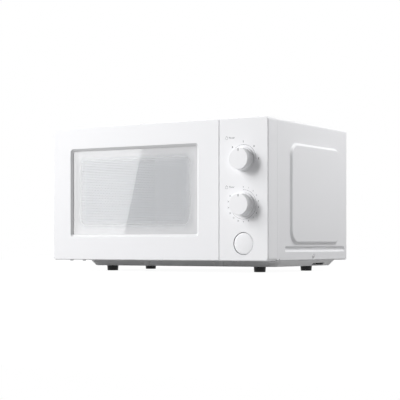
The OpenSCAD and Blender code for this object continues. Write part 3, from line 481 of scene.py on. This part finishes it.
# %% Rubber, mica and board
rubber = moulded("rubber", (0.006, 0.006, 0.007), 0.34, 0.2)
# A dark grey for the upright wall deep in the window's recess: painted shade.
painted_wall_shade = moulded("painted_wall_shade", (0.25, 0.25, 0.255), 0.5, 0.05)
for dull in rubber, base_paint:
    dull.shader.inputs["Specular IOR Level"].default_value = 0.25
mica = Finish("mica", (0.62, 0.55, 0.42), 0.4)
flakes = mica.noise(260.0, 5.0)
mica.tone(flakes, (0.50, 0.43, 0.31), (0.70, 0.63, 0.50))
mica.rough(0.3 + 0.3 * flakes).bump(flakes, 0.2, 0.0001)
board = Finish("board", (0.02, 0.14, 0.06), 0.35)
gap = board.add(
    "ShaderNodeTexVoronoi", {"feature": "DISTANCE_TO_EDGE"}, {"Vector": board.place(), "Scale": 260.0}
)
board.tone(gap > 0.08, (0.05, 0.26, 0.12), (0.02, 0.13, 0.055)).bump(gap > 0.08, 0.3, 0.00005)
print("rubber, mica and board ready")

# %% [markdown]
# ## Glass
# The window is a clear pane in front of a pale screen. A real glass shader would leave the screen
# behind it dark, because few light paths get through a solid pane, so the pane is mixed from a
# transparent shader and a glossy one. Fresnel decides the mix, as in real glass, and counts twice on
# the near face, which then mirrors for both. The far face is left clear, because Fresnel seen from
# inside would stop the light that comes in at a slant. A faint noise keeps the gloss from being
# perfect. The pane carries a white border that fades inwards: painted light, which stands in for the
# brighter edges of the window and covers the shade that the frame casts on the screen. The border is
# on the near face alone and is seen from outside only, so it doesn't take light from the screen
# behind it, which would draw a dark line where the border ends.

# %% Glass
WINDOW_X, WINDOW_Z = (-186.6, 90.2), (41.5, 203.7)
# The white of the pane's fading border, which is painted light.
EDGE_LIGHT_WHITE = (0.78, 0.782, 0.797, 1)


def window_box(margin, front, back):
    """A box from one depth to another that is larger all round than the window's opening."""
    low = (WINDOW_X[0] - margin, front, WINDOW_Z[0] - margin)
    return low, (WINDOW_X[1] + margin, back, WINDOW_Z[1] + margin)


def clear_glass(name, tint, haze, film=0.0, border=None):
    finish = Finish(name, (0.98, 0.98, 0.98), haze, 1.0)
    smear = finish.noise(18.0, 3.0)
    finish.rough(haze + haze * smear)
    clear = finish.add("ShaderNodeBsdfTransparent", {}, {"Color": (*tint, 1)})
    front = 1 - finish.add("ShaderNodeNewGeometry", output="Backfacing")
    if border:
        # White mixed in round the pane's edges: painted light.
        white = finish.add("ShaderNodeBsdfDiffuse", {}, {"Color": EDGE_LIGHT_WHITE})
        cover = front * fading_print(finish, *border)
        clear = finish.add("ShaderNodeMixShader", {}, {0: cover, 1: clear, 2: white})
    facing = finish.add("ShaderNodeFresnel", {}, {"IOR": 1.5})
    solid = Wire(finish, finish.shader.outputs[0])
    mixed = finish.add("ShaderNodeMixShader", {}, {0: (2 * facing + film) * front, 1: clear, 2: solid})
    finish.tree.links.new(mixed.socket, finish.output.inputs["Surface"])
    return finish


def fading_print(finish, low, high, fade, density):
    """The cover of the painted light on a pane's face: dense round the edges, gone at `fade` from them.
    """
    low, high = at(*low), at(*high)
    clear = 1.0
    for axis in (0, 2):
        run = finish.add("ShaderNodeSeparateXYZ", {}, {"Vector": finish.place()}, output=axis)
        from_middle = run - (low[axis] + high[axis]) / 2
        from_edge = (high[axis] - low[axis]) / 2 - from_middle.math("ABSOLUTE", from_middle)
        clear = clear * finish.add(
            "ShaderNodeMapRange", {"interpolation_type": "SMOOTHSTEP"},
            {"Value": from_edge, "From Min": 4 * MM, "From Max": fade, "To Min": 0.0, "To Max": 1.0},
        )
    depth = finish.add("ShaderNodeSeparateXYZ", {}, {"Vector": finish.place()}, output=1)
    return density * (depth < high[1]) * (1 - clear)


pane_glass = clear_glass(
    "pane_glass", (0.975, 0.98, 0.985), 0.006, border=(*window_box(0, 0, 5), 0.034, 0.75)
)
tray_glass = clear_glass("tray_glass", (0.86, 0.92, 0.91), 0.05, 0.1)
film_clear = clear_glass("film_clear", (0.95, 0.95, 0.95), 0.12, 0.03)
lamp_glass = clear_glass("lamp_glass", (0.95, 0.93, 0.88), 0.05, 0.1)
print("glass ready")

# %% [markdown]
# ## Where a piece belongs
# Each new piece gets its finish, rides on the body that its node moves with, and stands for that node.

# %% Belonging
finish_of_slot = {
    "white_enamel": cabinet_paint, "white_plastic": white_plastic, "grey_enamel": base_paint,
    "cavity_enamel": cavity_enamel, "galvanised": galvanised, "screen_paint": screen_paint,
    "rubber": rubber, "screw_steel": screw_steel, "clear": film_clear, "tray_glass": tray_glass,
    "mica": mica, "aluminium": aluminium, "copper": copper, "core_iron": core_iron,
    "dark_plastic": dark_plastic, "pale_plastic": pale_plastic, "board": board,
    "spring_steel": spring_steel,
}
standing = set()


def give(obj, finish):
    obj.data.materials.clear()
    obj.data.materials.append(finish.material)
    return obj


def stands_for(piece, node, finish=None):
    give(piece, finish or finish_of_slot[slot_of_node[node]])
    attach(piece, body_of_node[node])
    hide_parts(node)
    standing.add(node)
    return piece


def goes_with(piece, node, finish):
    """A small piece that moves with a node but leaves the node to another piece."""
    give(piece, finish)
    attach(piece, body_of_node[node])
    return piece


print("slots:", len(finish_of_slot))

# %% [markdown]
# Where a node's own shape is right, a copy is cleaned instead: its loose triangles are merged into
# whole faces, its sharp edges get a hair of rounding to catch the light, and its shading is renewed.

# %% Copies of nodes
def copy_of(node):
    source = nodes[node]
    piece = source.copy()
    piece.data = source.data.copy()
    for key in list(piece.keys()):
        del piece[key]
    piece.parent = None
    piece.name = node + "_skin"
    piece.matrix_world = Matrix.Identity(4)
    bpy.context.scene.collection.objects.link(piece)
    only(piece)
    bpy.ops.mesh.customdata_custom_splitnormals_clear()
    pick_all(piece)
    bpy.ops.mesh.remove_doubles(threshold=0.002 * MM)
    bpy.ops.mesh.dissolve_limited(angle_limit=radians(0.2))
    leave_edit()
    return piece


print("ready to place pieces")

# %% [markdown]
# ## Cabinet shell
# The outer shell is one steel sheet folded over the oven, open in front, below and behind. Each side
# carries a raised field that stiffens it, and a long groove under the field. On the real shell these
# are pressed, so their walls are soft S-curves. They are made as press tools: a round-cornered slab
# whose face is inset in small steps, added to or cut from a block. The block is then hollowed with a
# Solidify modifier, which follows the pressings as sheet does.

# %% Shell
SHELL_X, SHELL_Z0, SHELL_Z1 = 226.0, 1.3, 242.5
(_, SHELL_Y0, _), (_, SHELL_Y1, _) = reach("outer_shell")
TOP_RADIUS, FRONT_ROUND, REAR_ROUND = 4, 2.4, 1.2
FIELD_RADIUS, GROOVE_RADIUS = 26, 4.6
FIELD = (SHELL_Y0 + 46, 28.0, SHELL_Y1 - 29.8, 206.0)
GROOVE = (SHELL_Y0 + 28.8, 14.6, SHELL_Y1 - 9.4, 25.5)
FIELD_STEPS = [(0.9, 0.12), (0.7, 0.4), (0.9, 0.9), (1.2, 1.25), (0.8, 0.75), (0.6, 0.4), (0.8, 0.18)]
GROOVE_STEPS = [(0.5, 0.12), (0.5, 0.4), (1.0, 0.98), (1.0, 0.98), (0.5, 0.4), (0.5, 0.12)]

shell = slab("shell", (-SHELL_X, SHELL_Y0, SHELL_Z0), (SHELL_X, SHELL_Y1, SHELL_Z1))
TOP = at(0, 0, SHELL_Z1).z
round_edges(shell, lambda e: along(e, 1) and middle(e).z > TOP - 1e-6, TOP_RADIUS, 8)
for y, width in ((SHELL_Y0, FRONT_ROUND), (SHELL_Y1, REAR_ROUND)):
    y = at(0, y, 0).y
    round_edges(
        shell,
        lambda e: all(abs(v.co.y - y) < 1e-6 for v in e.verts) and middle(e).z > BASE_Z + 0.002,
        width, 3,
    )
for side in (-1, 1):
    edge = side * SHELL_X
    low, high = sorted((edge - side * 2, edge))
    field = rounded_slab("field", (low, *FIELD[:2]), (high, *FIELD[2:]), 0, FIELD_RADIUS, 16)
    combine(shell, stamp(field, 0, side, FIELD_STEPS), "UNION")
    low, high = sorted((edge, edge + side))
    groove = rounded_slab("groove", (low, *GROOVE[:2]), (high, *GROOVE[2:]), 0, GROOVE_RADIUS, 6)
    combine(shell, stamp(groove, 0, -side, GROOVE_STEPS))
SCREW_Y, SCREW_Z = (SHELL_Y0 + SHELL_Y1) / 2, 6.5
for side in (-1, 1):
    dimple = turned(
        "dimple", at(side * SHELL_X, SCREW_Y, SCREW_Z), "x",
        [(5.9, side * 1), (5.5, 0), (4.6, -side * 0.5), (4.0, -side * 1.2)], 32,
    )
    combine(shell, dimple)

# %% Shell opening
def left_open(face):
    """True for the front of the block and for its underside."""
    front = face.normal.y < -0.99 and face.calc_area() > 0.01
    return front or (face.normal.z < -0.99 and middle(face).z < BASE_Z + 0.003)


pick(shell, "FACE", left_open)
bpy.ops.mesh.delete(type="FACE")
leave_edit()
modify(shell, "SOLIDIFY", thickness=0.8 * MM, offset=-1, use_even_offset=True)
LIP = 12
low, high = (-SHELL_X + LIP, SHELL_Y1 - 3, -5), (SHELL_X - LIP, SHELL_Y1 + 3, SHELL_Z1 - LIP)
opening = slab("opening", low, high)
round_edges(opening, lambda e: along(e, 1), 4, 6)
combine(shell, opening)
for side in (-1, 1):
    spot = at(side * SHELL_X, SHELL_Y0 + 9.7, 1.9)
    combine(shell, turned("pinhole", spot, "x", [(1.5, -2), (1.5, 2)], 16))
stands_for(polish(shell, 40), "outer_shell")
print("shell faces:", len(shell.data.polygons))

# %% [markdown]
# ## Perforated screen
# Behind the pane, a painted steel sheet keeps the microwaves in and lets the light out. Its holes lie
# in a honeycomb. One cell is modelled, a hexagon with a smaller hexagon cut from it, and two Array
# modifiers lay it out in rows, the next row half a cell to the side. The ragged border is then drawn
# out to the sheet's edge, and Solidify gives the sheet its thickness.

# %% Screen cell
PITCH = 3.44
ROW = PITCH * sqrt(3) / 2
HOLE = 1.08
COLUMNS, PAIRS = 80, 27
(PANE_X0, _, PANE_Z0), (PANE_X1, PANE_Y1, PANE_Z1) = reach("window_pane")
FIELD_X, FIELD_Z = (PANE_X0 + PANE_X1) / 2, (PANE_Z0 + PANE_Z1) / 2
SCREEN_Y = PANE_Y1 + 0.3
start = at(FIELD_X - (COLUMNS - 0.5) * PITCH / 2, SCREEN_Y, FIELD_Z - (PAIRS * 2 - 1) * ROW / 2)
bpy.ops.object.select_all(action="DESELECT")
bpy.ops.mesh.primitive_circle_add(
    vertices=6, radius=PITCH / sqrt(3) * MM, fill_type="NGON", location=start, rotation=(pi / 2, 0, 0)
)
screen = settle(bpy.context.object)
screen.name = "screen"
pick_all(screen, "FACE")
bpy.ops.mesh.inset(thickness=(PITCH / 2 - HOLE) * MM)
bpy.ops.mesh.delete(type="FACE")
leave_edit()
modify(
    screen, "ARRAY", count=COLUMNS, use_relative_offset=False, use_constant_offset=True,
    constant_offset_displace=(PITCH * MM, 0, 0), use_merge_vertices=True, merge_threshold=0.00002,
)
screen = join("screen", [screen, duplicate(screen, "row", (PITCH / 2, 0, ROW))])
modify(
    screen, "ARRAY", count=PAIRS, use_relative_offset=False, use_constant_offset=True,
    constant_offset_displace=(0, 0, 2 * ROW * MM), use_merge_vertices=True, merge_threshold=0.00002,
)

# %% Screen border
pick_all(screen)
bpy.ops.mesh.remove_doubles(threshold=0.02 * MM)
leave_edit()
low, high = at(PANE_X0 + 0.2, 0, PANE_Z0 + 0.2), at(PANE_X1 - 0.2, 0, PANE_Z1 - 0.2)


def outline(edge):
    """True for an edge on the outside of the honeycomb, which is longer than the edge of any hole."""
    return edge.is_boundary and edge.calc_length() > 0.9 * PITCH / sqrt(3) * MM


def draw_out(axis, side, limit, goal):
    """Draws the rim on one side out to a straight line."""
    pick(screen, "EDGE", lambda e: outline(e) and all((v.co[axis] - limit) * side > 0 for v in e.verts))
    bpy.ops.mesh.extrude_region_move()
    size, centre = [1, 1, 1], [0, 0, 0]
    size[axis], centre[axis] = 0, goal
    bpy.ops.transform.resize(value=size, center_override=centre)
    leave_edit()


low_x, high_x = (f(v.co.x for v in screen.data.vertices) for f in (min, max))
low_z, high_z = (f(v.co.z for v in screen.data.vertices) for f in (min, max))
draw_out(0, -1, low_x + 0.6 * PITCH * MM, low.x)
draw_out(0, 1, high_x - 0.6 * PITCH * MM, high.x)
draw_out(2, -1, low_z + 0.4 * PITCH * MM, low.z)
draw_out(2, 1, high_z - 0.4 * PITCH * MM, high.z)
print("screen faces:", len(screen.data.polygons))
modify(screen, "SOLIDIFY", thickness=0.6 * MM, offset=-1)

# %% [markdown]
# The sheet is part of a deep pressing: it is the floor of a dish that the flange and the choke channel
# surround. The rest of that pressing is right as it stands, so its copy loses only its plain floor.

# %% Door plate
dish = copy_of("door_plate")
floor_y = at(0, SCREEN_Y, 0).y
found = pick(
    dish, "FACE",
    lambda f: abs(f.normal.y) > 0.99 and f.calc_area() > 0.02 and middle(f).y < floor_y + 0.0012,
)
print("dish floor faces:", found)
bpy.ops.mesh.delete(type="FACE")
leave_edit()
plate = join("door_plate_skin", [dish, screen])
only(plate)
bpy.ops.object.shade_smooth_by_angle(angle=radians(30))
stands_for(plate, "door_plate")
print("door plate faces:", len(plate.data.polygons))

# %% [markdown]
# ## Knobs
# Both knobs are the same turned shape: a flat face with a narrow bright chamfer, a straight side and
# a low skirt at its root. The rings of the shape are drawn out of a disc one after another, and the
# back is hollowed by an inset. The face lies a hair below its rim, and a small grey mark is let into
# it to show where the knob points.

# %% Knob
KNOB_RINGS = [
    (20.3, -0.5), (20.6, -0.9), (20.6, -3.0), (20.3, -3.4), (19.2, -3.5), (18.7, -3.75), (18.4, -4.4),
    (18.3, -5.4), (18.3, -17.3), (18.2, -17.68), (17.92, -17.9), (17.5, -17.97), (0.5, -17.97),
]
KNOB_SPOTS = {"power_knob": (179.0, 172.8), "timer_knob": (179.0, 95.9)}
KNOB_WALL, KNOB_HOLLOW = 4.6, 15
knob_x, knob_z = KNOB_SPOTS["power_knob"]
knob = turned("power_grip", at(knob_x, 0, knob_z), "y", KNOB_RINGS, 96)
pick(knob, "FACE", lambda f: f.normal.y > 0.99 and middle(f).y > at(0, -1, 0).y)
bpy.ops.mesh.inset(thickness=KNOB_WALL * MM, depth=0)
bpy.ops.mesh.inset(thickness=0.4 * MM, depth=-KNOB_HOLLOW * MM)
leave_edit()
hub = turned("hub", at(knob_x, 0, knob_z), "y", [(6, -15.6), (6, -0.6)], 32)
hole = turned("hub_hole", at(knob_x, 0, knob_z), "y", [(3.02, -15.4), (3.02, 1)], 32)
knob = join("power_grip", [knob, combine(hub, hole)])
low, high = (knob_x - 0.95, -18, knob_z + 12.6), (knob_x + 0.95, -17.6, knob_z + 17.2)
pointer = rounded_slab("power_pointer", low, high, 1, 0.9, 5)
timer_shift = (0, 0, KNOB_SPOTS["timer_knob"][1] - knob_z)
timer_grip = duplicate(knob, "timer_grip", timer_shift)
timer_pointer = duplicate(pointer, "timer_pointer", timer_shift)
for piece, mark, node in ((knob, pointer, "power_knob"), (timer_grip, timer_pointer, "timer_knob")):
    stands_for(polish(piece, 40), node, knob_plastic)
    goes_with(polish(mark), node, pointer_ink)
print("knob faces:", len(knob.data.polygons))

# %% [markdown]
# ## Door button
# The round button lies flush with the panel. Its cap is slightly domed, which shades it softly from
# one side to the other, and its rounded rim makes the thin ring around it.

# %% Button
BUTTON = at(179.0, 0, 29.5)
BUTTON_RINGS = [
    (18.3, 10), (18.3, 1.6), (18.1, 1.1), (17.6, 0.78), (16, 0.5), (13, 0.28), (9, 0.12), (4.5, 0.03),
    (0.5, 0),
]
button = turned("button_cap", BUTTON, "y", BUTTON_RINGS, 96)
pick(button, "FACE", lambda f: f.normal.y > 0.99)
bpy.ops.mesh.inset(thickness=2 * MM, depth=0)
bpy.ops.mesh.inset(thickness=0.2 * MM, depth=-6 * MM)
leave_edit()
_, (_, STEM_Y, _) = reach("door_button")
STEM_RINGS = [
    (4, 3), (4, STEM_Y - 3), (3, STEM_Y - 2.4), (2.4, STEM_Y - 1), (1.4, STEM_Y - 0.2), (0.3, STEM_Y),
]
button = join("button_cap", [button, turned("stem", BUTTON, "y", STEM_RINGS, 32)])
stands_for(polish(button, 40), "door_button", white_plastic)
print("button faces:", len(button.data.polygons))

# %% [markdown]
# ## Print on the panel
# Round the power knob runs an arc with a mark for each step, and round the timer a scale of minutes.
# On the real panel this is pad printed, a layer far thinner than paper. Here each letter and line is
# a sheet 0.04 mm thick that stands just proud of the panel.

# %% Print helpers
PRINT_Y = -0.02


def lettering(text, x, z, size, align="CENTER"):
    bpy.ops.object.select_all(action="DESELECT")
    bpy.ops.object.text_add()
    obj = bpy.context.object
    obj.data.body = text
    obj.data.size = size * MM
    obj.data.align_x = align
    obj.data.align_y = "CENTER"
    obj.data.extrude = 0.02 * MM
    obj.data.offset = 0.05 * MM
    obj.data.resolution_u = 3
    bpy.ops.object.convert(target="MESH")
    obj = bpy.context.object
    obj.rotation_euler = (pi / 2, 0, 0)
    obj.location = at(x, PRINT_Y, z)
    return settle(obj)


def round_spot(x, z, radius, degrees):
    """The point at an angle from the top, clockwise, on a circle."""
    return x + radius * sin(radians(degrees)), z + radius * cos(radians(degrees))


def arc(x, z, radius, first, last, width):
    centre = at(x, PRINT_Y + 0.02, z)
    bpy.ops.object.select_all(action="DESELECT")
    bpy.ops.mesh.primitive_circle_add(
        vertices=180, radius=(radius - width / 2) * MM, location=centre, rotation=(pi / 2, 0, 0)
    )
    obj = settle(bpy.context.object)
    wanted = (last - first) / 2 + 0.5
    turn = radians((first + last) / 2)
    way = Vector((sin(turn), 0, cos(turn)))
    pick(obj, "VERT", lambda v: (v.co - centre).angle(way) > radians(wanted))
    bpy.ops.mesh.delete(type="VERT")
    bpy.ops.mesh.select_all(action="SELECT")
    bpy.ops.mesh.extrude_region_move()
    share = (radius + width / 2) / (radius - width / 2)
    bpy.ops.transform.resize(value=(share, 1, share), center_override=centre)
    leave_edit()
    return modify(obj, "SOLIDIFY", thickness=0.04 * MM, offset=0)


def dash(x, z, wide, high, degrees=0):
    low = (x - wide / 2, PRINT_Y - 0.02, z - high / 2)
    obj = slab("dash", low, (x + wide / 2, PRINT_Y + 0.02, z + high / 2))
    pick_all(obj)
    bpy.ops.transform.rotate(value=radians(degrees), orient_axis="Y", center_override=at(x, PRINT_Y, z))
    leave_edit()
    return obj


# %% Power scale
POWER_R, TIMER_R, SIGN_R = 24.5, 25, 29.6
x, z = KNOB_SPOTS["power_knob"]
marks = [arc(x, z, POWER_R, -45, 90, 0.5)]
for degrees in (-45, 0, 45, 90):
    marks.append(dash(*round_spot(x, z, POWER_R, degrees), 0.9, 0.9, 45))
px, pz = round_spot(x, z, SIGN_R, -45)
marks += [dash(px, pz, 2.2, 2.2, 45), dash(px, pz, 2.9, 0.6)]
px, pz = round_spot(x, z, SIGN_R, 0)
marks += [dash(px, pz, 1.0, 3.6)]
px, pz = round_spot(x, z, SIGN_R, 45)
marks += [dash(px, pz, 0.55, 3.3, turn) for turn in (0, 60, 120)]
px, pz = round_spot(x, z, SIGN_R, 90)
marks += [arc(px, pz, 1.2, -60, 60, 0.5), arc(px, pz, 0.5, -180, 180, 0.6)]
marks += [dash(px, pz - 1.5, 2.4, 0.5)]
print("power marks:", len(marks))

# %% Timer scale
MINUTES = (0, 1, 2, 3, 4, 5, 6, 7, 8, 9, 10, 15, 20, 25, 30, 35)
STEP, WORD_X, SYMBOL_X = 20, 151.0, 146.4
x, z = KNOB_SPOTS["timer_knob"]
marks.append(arc(x, z, TIMER_R, 0, STEP * (len(MINUTES) - 1), 0.4))
for count, minutes in enumerate(MINUTES):
    marks.append(lettering(str(minutes), *round_spot(x, z, SIGN_R, STEP * count), 3.6))
    marks.append(dash(*round_spot(x, z, TIMER_R, STEP * count), 0.75, 0.75, 45))
for z, word in ((209.5, "Power"), (125.6, "Timer")):
    marks += [arc(SYMBOL_X, z - 0.3, 2.3, -180, 180, 0.45), dash(SYMBOL_X, z + 2.6, 1.6, 0.5)]
    marks.append(lettering(word, WORD_X, z, 4.4, "LEFT"))
goes_with(join("panel_print", marks), "control_fascia", ink)

# %% [markdown]
# ## Screws
# The cabinet screws have a pan head with a crossed recess. The head is turned and the recess is cut by
# two crossed tapered blades. One screw is made and the others are copies of it, turned to their places.

# %% Screws
HEAD_RINGS = [(1.7, 5.5), (1.7, 0), (3.6, 0), (3.6, -0.5), (3.2, -1.2), (2.3, -1.65), (0.8, -1.8)]
QUARTER = pi / 2


def cross_screw(name):
    """A screw with its seat at the datum, its head towards -y and its thread towards +y."""
    head = turned(name, at(0, 0, 0), "y", HEAD_RINGS, 32)
    for wide, high in ((0.75, 2.1), (2.1, 0.75)):
        blade = slab("blade", (-wide, -2.4, -high), (wide, -0.7, high))
        pick(blade, "FACE", lambda f: f.normal.y > 0.99)
        bpy.ops.transform.resize(value=(0.6, 1, 0.6), center_override=at(0, -0.7, 0))
        leave_edit()
        combine(head, blade)
    return polish(head, 40)


def set_screws(name, node, places, spin, finish):
    copies = []
    for count, place in enumerate(places):
        copy = model_screw.copy()
        copy.data = model_screw.data.copy()
        copy.name = f"{name}_{count}"
        bpy.context.scene.collection.objects.link(copy)
        to_place, to_origin = Matrix.Translation(at(*place)), Matrix.Translation(-at(0, 0, 0))
        copy.matrix_world = to_place @ spin(place) @ to_origin
        copies.append(settle(copy))
    return stands_for(join(name, copies), node, finish)


model_screw = cross_screw("model_screw")
REAR_SPOTS = [(-220, 60), (-220, 190), (220, 60), (220, 190), (-150, 236.5), (0, 236.5), (150, 236.5)]
places = [(x, SHELL_Y1, z) for x, z in REAR_SPOTS]
places += [(side * (SHELL_X - 1.2), SCREW_Y, SCREW_Z) for side in (-1, 1)]


def cabinet_spin(place):
    if place[1] > SHELL_Y1 - 1:
        return Matrix.Rotation(pi, 4, "Z")
    return Matrix.Rotation(QUARTER if place[0] > 0 else -QUARTER, 4, "Z")


def upward_spin(place):
    return Matrix.Rotation(QUARTER, 4, "X")


set_screws("cabinet_screw_set", "cabinet_screws", places, cabinet_spin, bright_screw)
(_, low_y, _), (_, high_y, _) = reach("base_screws")
base_y = (low_y + high_y) / 2
BASE_SCREW_X = (-214, -184.6, -15, 140, 214)
places = [(x, base_y, -0.3) for x in BASE_SCREW_X]
set_screws("base_screw_set", "base_screws", places, upward_spin, screw_steel)
bpy.data.objects.remove(model_screw)
print("screws set")

# %% [markdown]
# ## Carried-over pieces
# The other solids have the right shape already. Their copies get a hair of rounding on the edges that
# the eye can reach, because a perfectly sharp edge never catches the light. The pane is one of them,
# with a step added that brings its face forward into the opening. Round that face, the frame's slopes
# get a darker grey, which is painted shade, and the upright wall behind them a dark grey, which is
# painted shade too. Both are faces of the frame, picked by their place and given a material slot of
# their own.

# %% Carried-over pieces
ROUNDING = {
    "door_frame": 0.35, "control_fascia": 0.35, "feet": 0.7, "window_pane": 0.25, "base_plate": 0.6,
    "front_plate": 0.3, "choke_cover": 0.3, "latch_hooks": 0.4, "glass_tray": 0.6, "cord_bushing": 0.4,
    "roller_ring": 0.3, "roller_1": 0.5, "roller_2": 0.5, "roller_3": 0.5, "drive_coupler": 0.4,
}
finish_of_node = {"window_pane": pane_glass, "oven_lamp": lamp_glass}


def within(low, high):
    """A test for faces that are slanted or upright, with their middle inside a box."""
    low, high = at(*low), at(*high)

    def test(face):
        inside = all(a < b < c for a, b, c in zip(low, middle(face), high))
        return inside and abs(face.normal.y) < 0.97

    return test


def paint(piece, finish, test):
    """A second finish on some of a piece's faces."""
    piece.data.materials.append(finish.material)
    piece.active_material_index = len(piece.data.materials) - 1
    pick(piece, "FACE", test)
    bpy.ops.object.material_slot_assign()
    leave_edit()


for node in nodes:
    if node in standing:
        continue
    piece = copy_of(node)
    if node == "window_pane":
        combine(piece, slab("pane_face", *window_box(-4.2, 3.7, 7.5)), "UNION")
    if node in ROUNDING:
        soften(piece, ROUNDING[node])
    stands_for(polish(piece, 32), node, finish_of_node.get(node))
door_frame = bpy.data.objects["door_frame_skin"]
# The slopes round the window take the darker grey: painted shade.
paint(door_frame, painted_slope_shade, within(*window_box(0.3, 0.02, 3.0)))
# The upright wall behind the slopes takes the dark grey: painted shade.
paint(door_frame, painted_wall_shade, within(*window_box(-4.2, 3.0, 6.6)))
print("pieces:", len(standing))

# %% [markdown]
# ## Springs
# Two coil springs are squeezed by what they push: one by the button, one by the door's hooks. The
# record says which end of each stays put and how far its joint travels. Each spring's copy gets a mesh
# of its own, and the share of its length that it keeps at full travel is worked out and printed.

# %% Springs
for joint in frame["record"]["behaviour"]["joints"]:
    for spring in joint.get("deforming_nodes", []):
        letter = spring["mode"][-1]
        axis, end = "xyz".index(letter), spring[f"fixed_end_{letter}_m"]
        length = max(abs(corner[axis] - end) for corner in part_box(spring["node"]))
        way = [float(letter == other) for other in "xyz"]
        keep = 1 - joint["range_m"][1] / length
        piece = bpy.data.objects[spring["node"] + "_skin"]
        [end * share for share in way]
        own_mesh(piece)
        print(spring["node"], "keeps", round(keep, 3))

# %% [markdown]
# ## Floor and background
# The oven stands on a plain pale floor. To the camera, the floor and the background are white: the
# floor mixes in white where the Light Path node says that a camera ray sees it, and keeps a share of
# its real shading, so that the oven's shadow stays on it. The same is done for rays that come by way
# of a mirror or a pane, so that gloss and glass show the background too.

# %% Floor and background
AMBIENT = 0.14


def seen_directly(finish):
    rays = [
        finish.add("ShaderNodeLightPath", output=name)
        for name in ("Is Camera Ray", "Is Glossy Ray", "Is Transmission Ray")
    ]
    total = rays[0] + rays[1] + rays[2]
    return total.math("MINIMUM", total, 1.0)


bpy.ops.object.select_all(action="DESELECT")
bpy.ops.mesh.primitive_plane_add(size=3.2, location=(0, 0, -0.0002))
floor = bpy.context.object
floor.name = "floor"
floor_finish = Finish("floor_finish", (0.36, 0.36, 0.36), 0.9)
floor_finish.tone(floor_finish.noise(3.0, 3.0), (0.35, 0.35, 0.35), (0.37, 0.37, 0.37))
white = floor_finish.add("ShaderNodeEmission", {}, {"Color": (1, 1, 1, 1), "Strength": 1.19})
shaded = Wire(floor_finish, floor_finish.shader.outputs[0])
share = seen_directly(floor_finish) * 0.8
mixed = floor_finish.add("ShaderNodeMixShader", {}, {0: share, 1: shaded, 2: white})
floor_finish.tree.links.new(mixed.socket, floor_finish.output.inputs["Surface"])
give(floor, floor_finish)


class Backdrop(Finish):
    def __init__(self, world):
        world.use_nodes = True
        self.tree = world.node_tree
        self.shader = self.tree.nodes["Background"]


world = bpy.data.worlds.new("studio")
bpy.context.scene.world = world
backdrop = Backdrop(world)
backdrop.put(backdrop.shader, "Color", (1, 1, 1, 1))
backdrop.put(backdrop.shader, "Strength", AMBIENT + (1 - AMBIENT) * seen_directly(backdrop))
print("floor and background ready")

# %% [markdown]
# ## Lights
# Four soft lights do the rest. The key light is a large square from the upper left, and a smaller one
# beside it evens out the front. Both come from the left, which leaves the right sides of the knobs
# dark. A third light lifts the cabinet's side. It hangs close by, above and behind on the right: from
# there it fades down the side, and it stands behind the plane of the panel, so it can't reach the
# knobs. Last, a card stands low at the left, where the pane mirrors it: its slanting edge draws the
# soft diagonal across the window.

# %% Lights
OVEN_MIDDLE = (0, 0, 0.12)


def area_light(name, place, aim, wide, high, level):
    """`level` is the share of full light that the lamp alone gives a surface that faces it at `aim`."""
    bpy.ops.object.select_all(action="DESELECT")
    bpy.ops.object.light_add(type="AREA", location=place)
    light = bpy.context.object
    light.name = name
    way = Vector(aim) - Vector(place)
    light.matrix_world = Matrix.Translation(place) @ way.to_track_quat("-Z", "Y").to_matrix().to_4x4()
    light.data.shape = "RECTANGLE"
    light.data.size, light.data.size_y = wide, high
    light.data.energy = level * pi ** 2 * way.length_squared
    print(name, "power", round(light.data.energy, 1))
    return light


area_light("key_light", (-2.70, -2.26, 2.50), OVEN_MIDDLE, 2.6, 2.4, 0.78)
area_light("front_light", (-2.40, -2.90, 1.50), OVEN_MIDDLE, 1.2, 1.2, 0.32)
area_light("side_light", (0.98, 0.35, 1.20), OVEN_MIDDLE, 0.5, 0.5, 0.66)

EDGE_LOW, EDGE_WAY = Vector((-1.373, -2.0, 0.03)), Vector((0.2415, 0, 0.9704))
CARD_WIDE, CARD_HIGH = 0.9, 0.5
edge_middle = EDGE_LOW + EDGE_WAY * CARD_HIGH / 2
facing = Vector(OVEN_MIDDLE) - edge_middle
facing = (facing - EDGE_WAY * facing.dot(EDGE_WAY)).normalized()
leftwards = EDGE_WAY.cross(facing)
centre = edge_middle + leftwards * CARD_WIDE / 2
card = area_light("reflected_card", centre, OVEN_MIDDLE, CARD_WIDE, CARD_HIGH, 0.051)
turn = Matrix((-leftwards, EDGE_WAY, -facing)).transposed().to_4x4()
card.matrix_world = Matrix.Translation(centre) @ turn

# %% [markdown]
# ## View
# The Standard view shows each colour as it is written.

# %% View and finish
bpy.context.scene.view_settings.view_transform = "Standard"
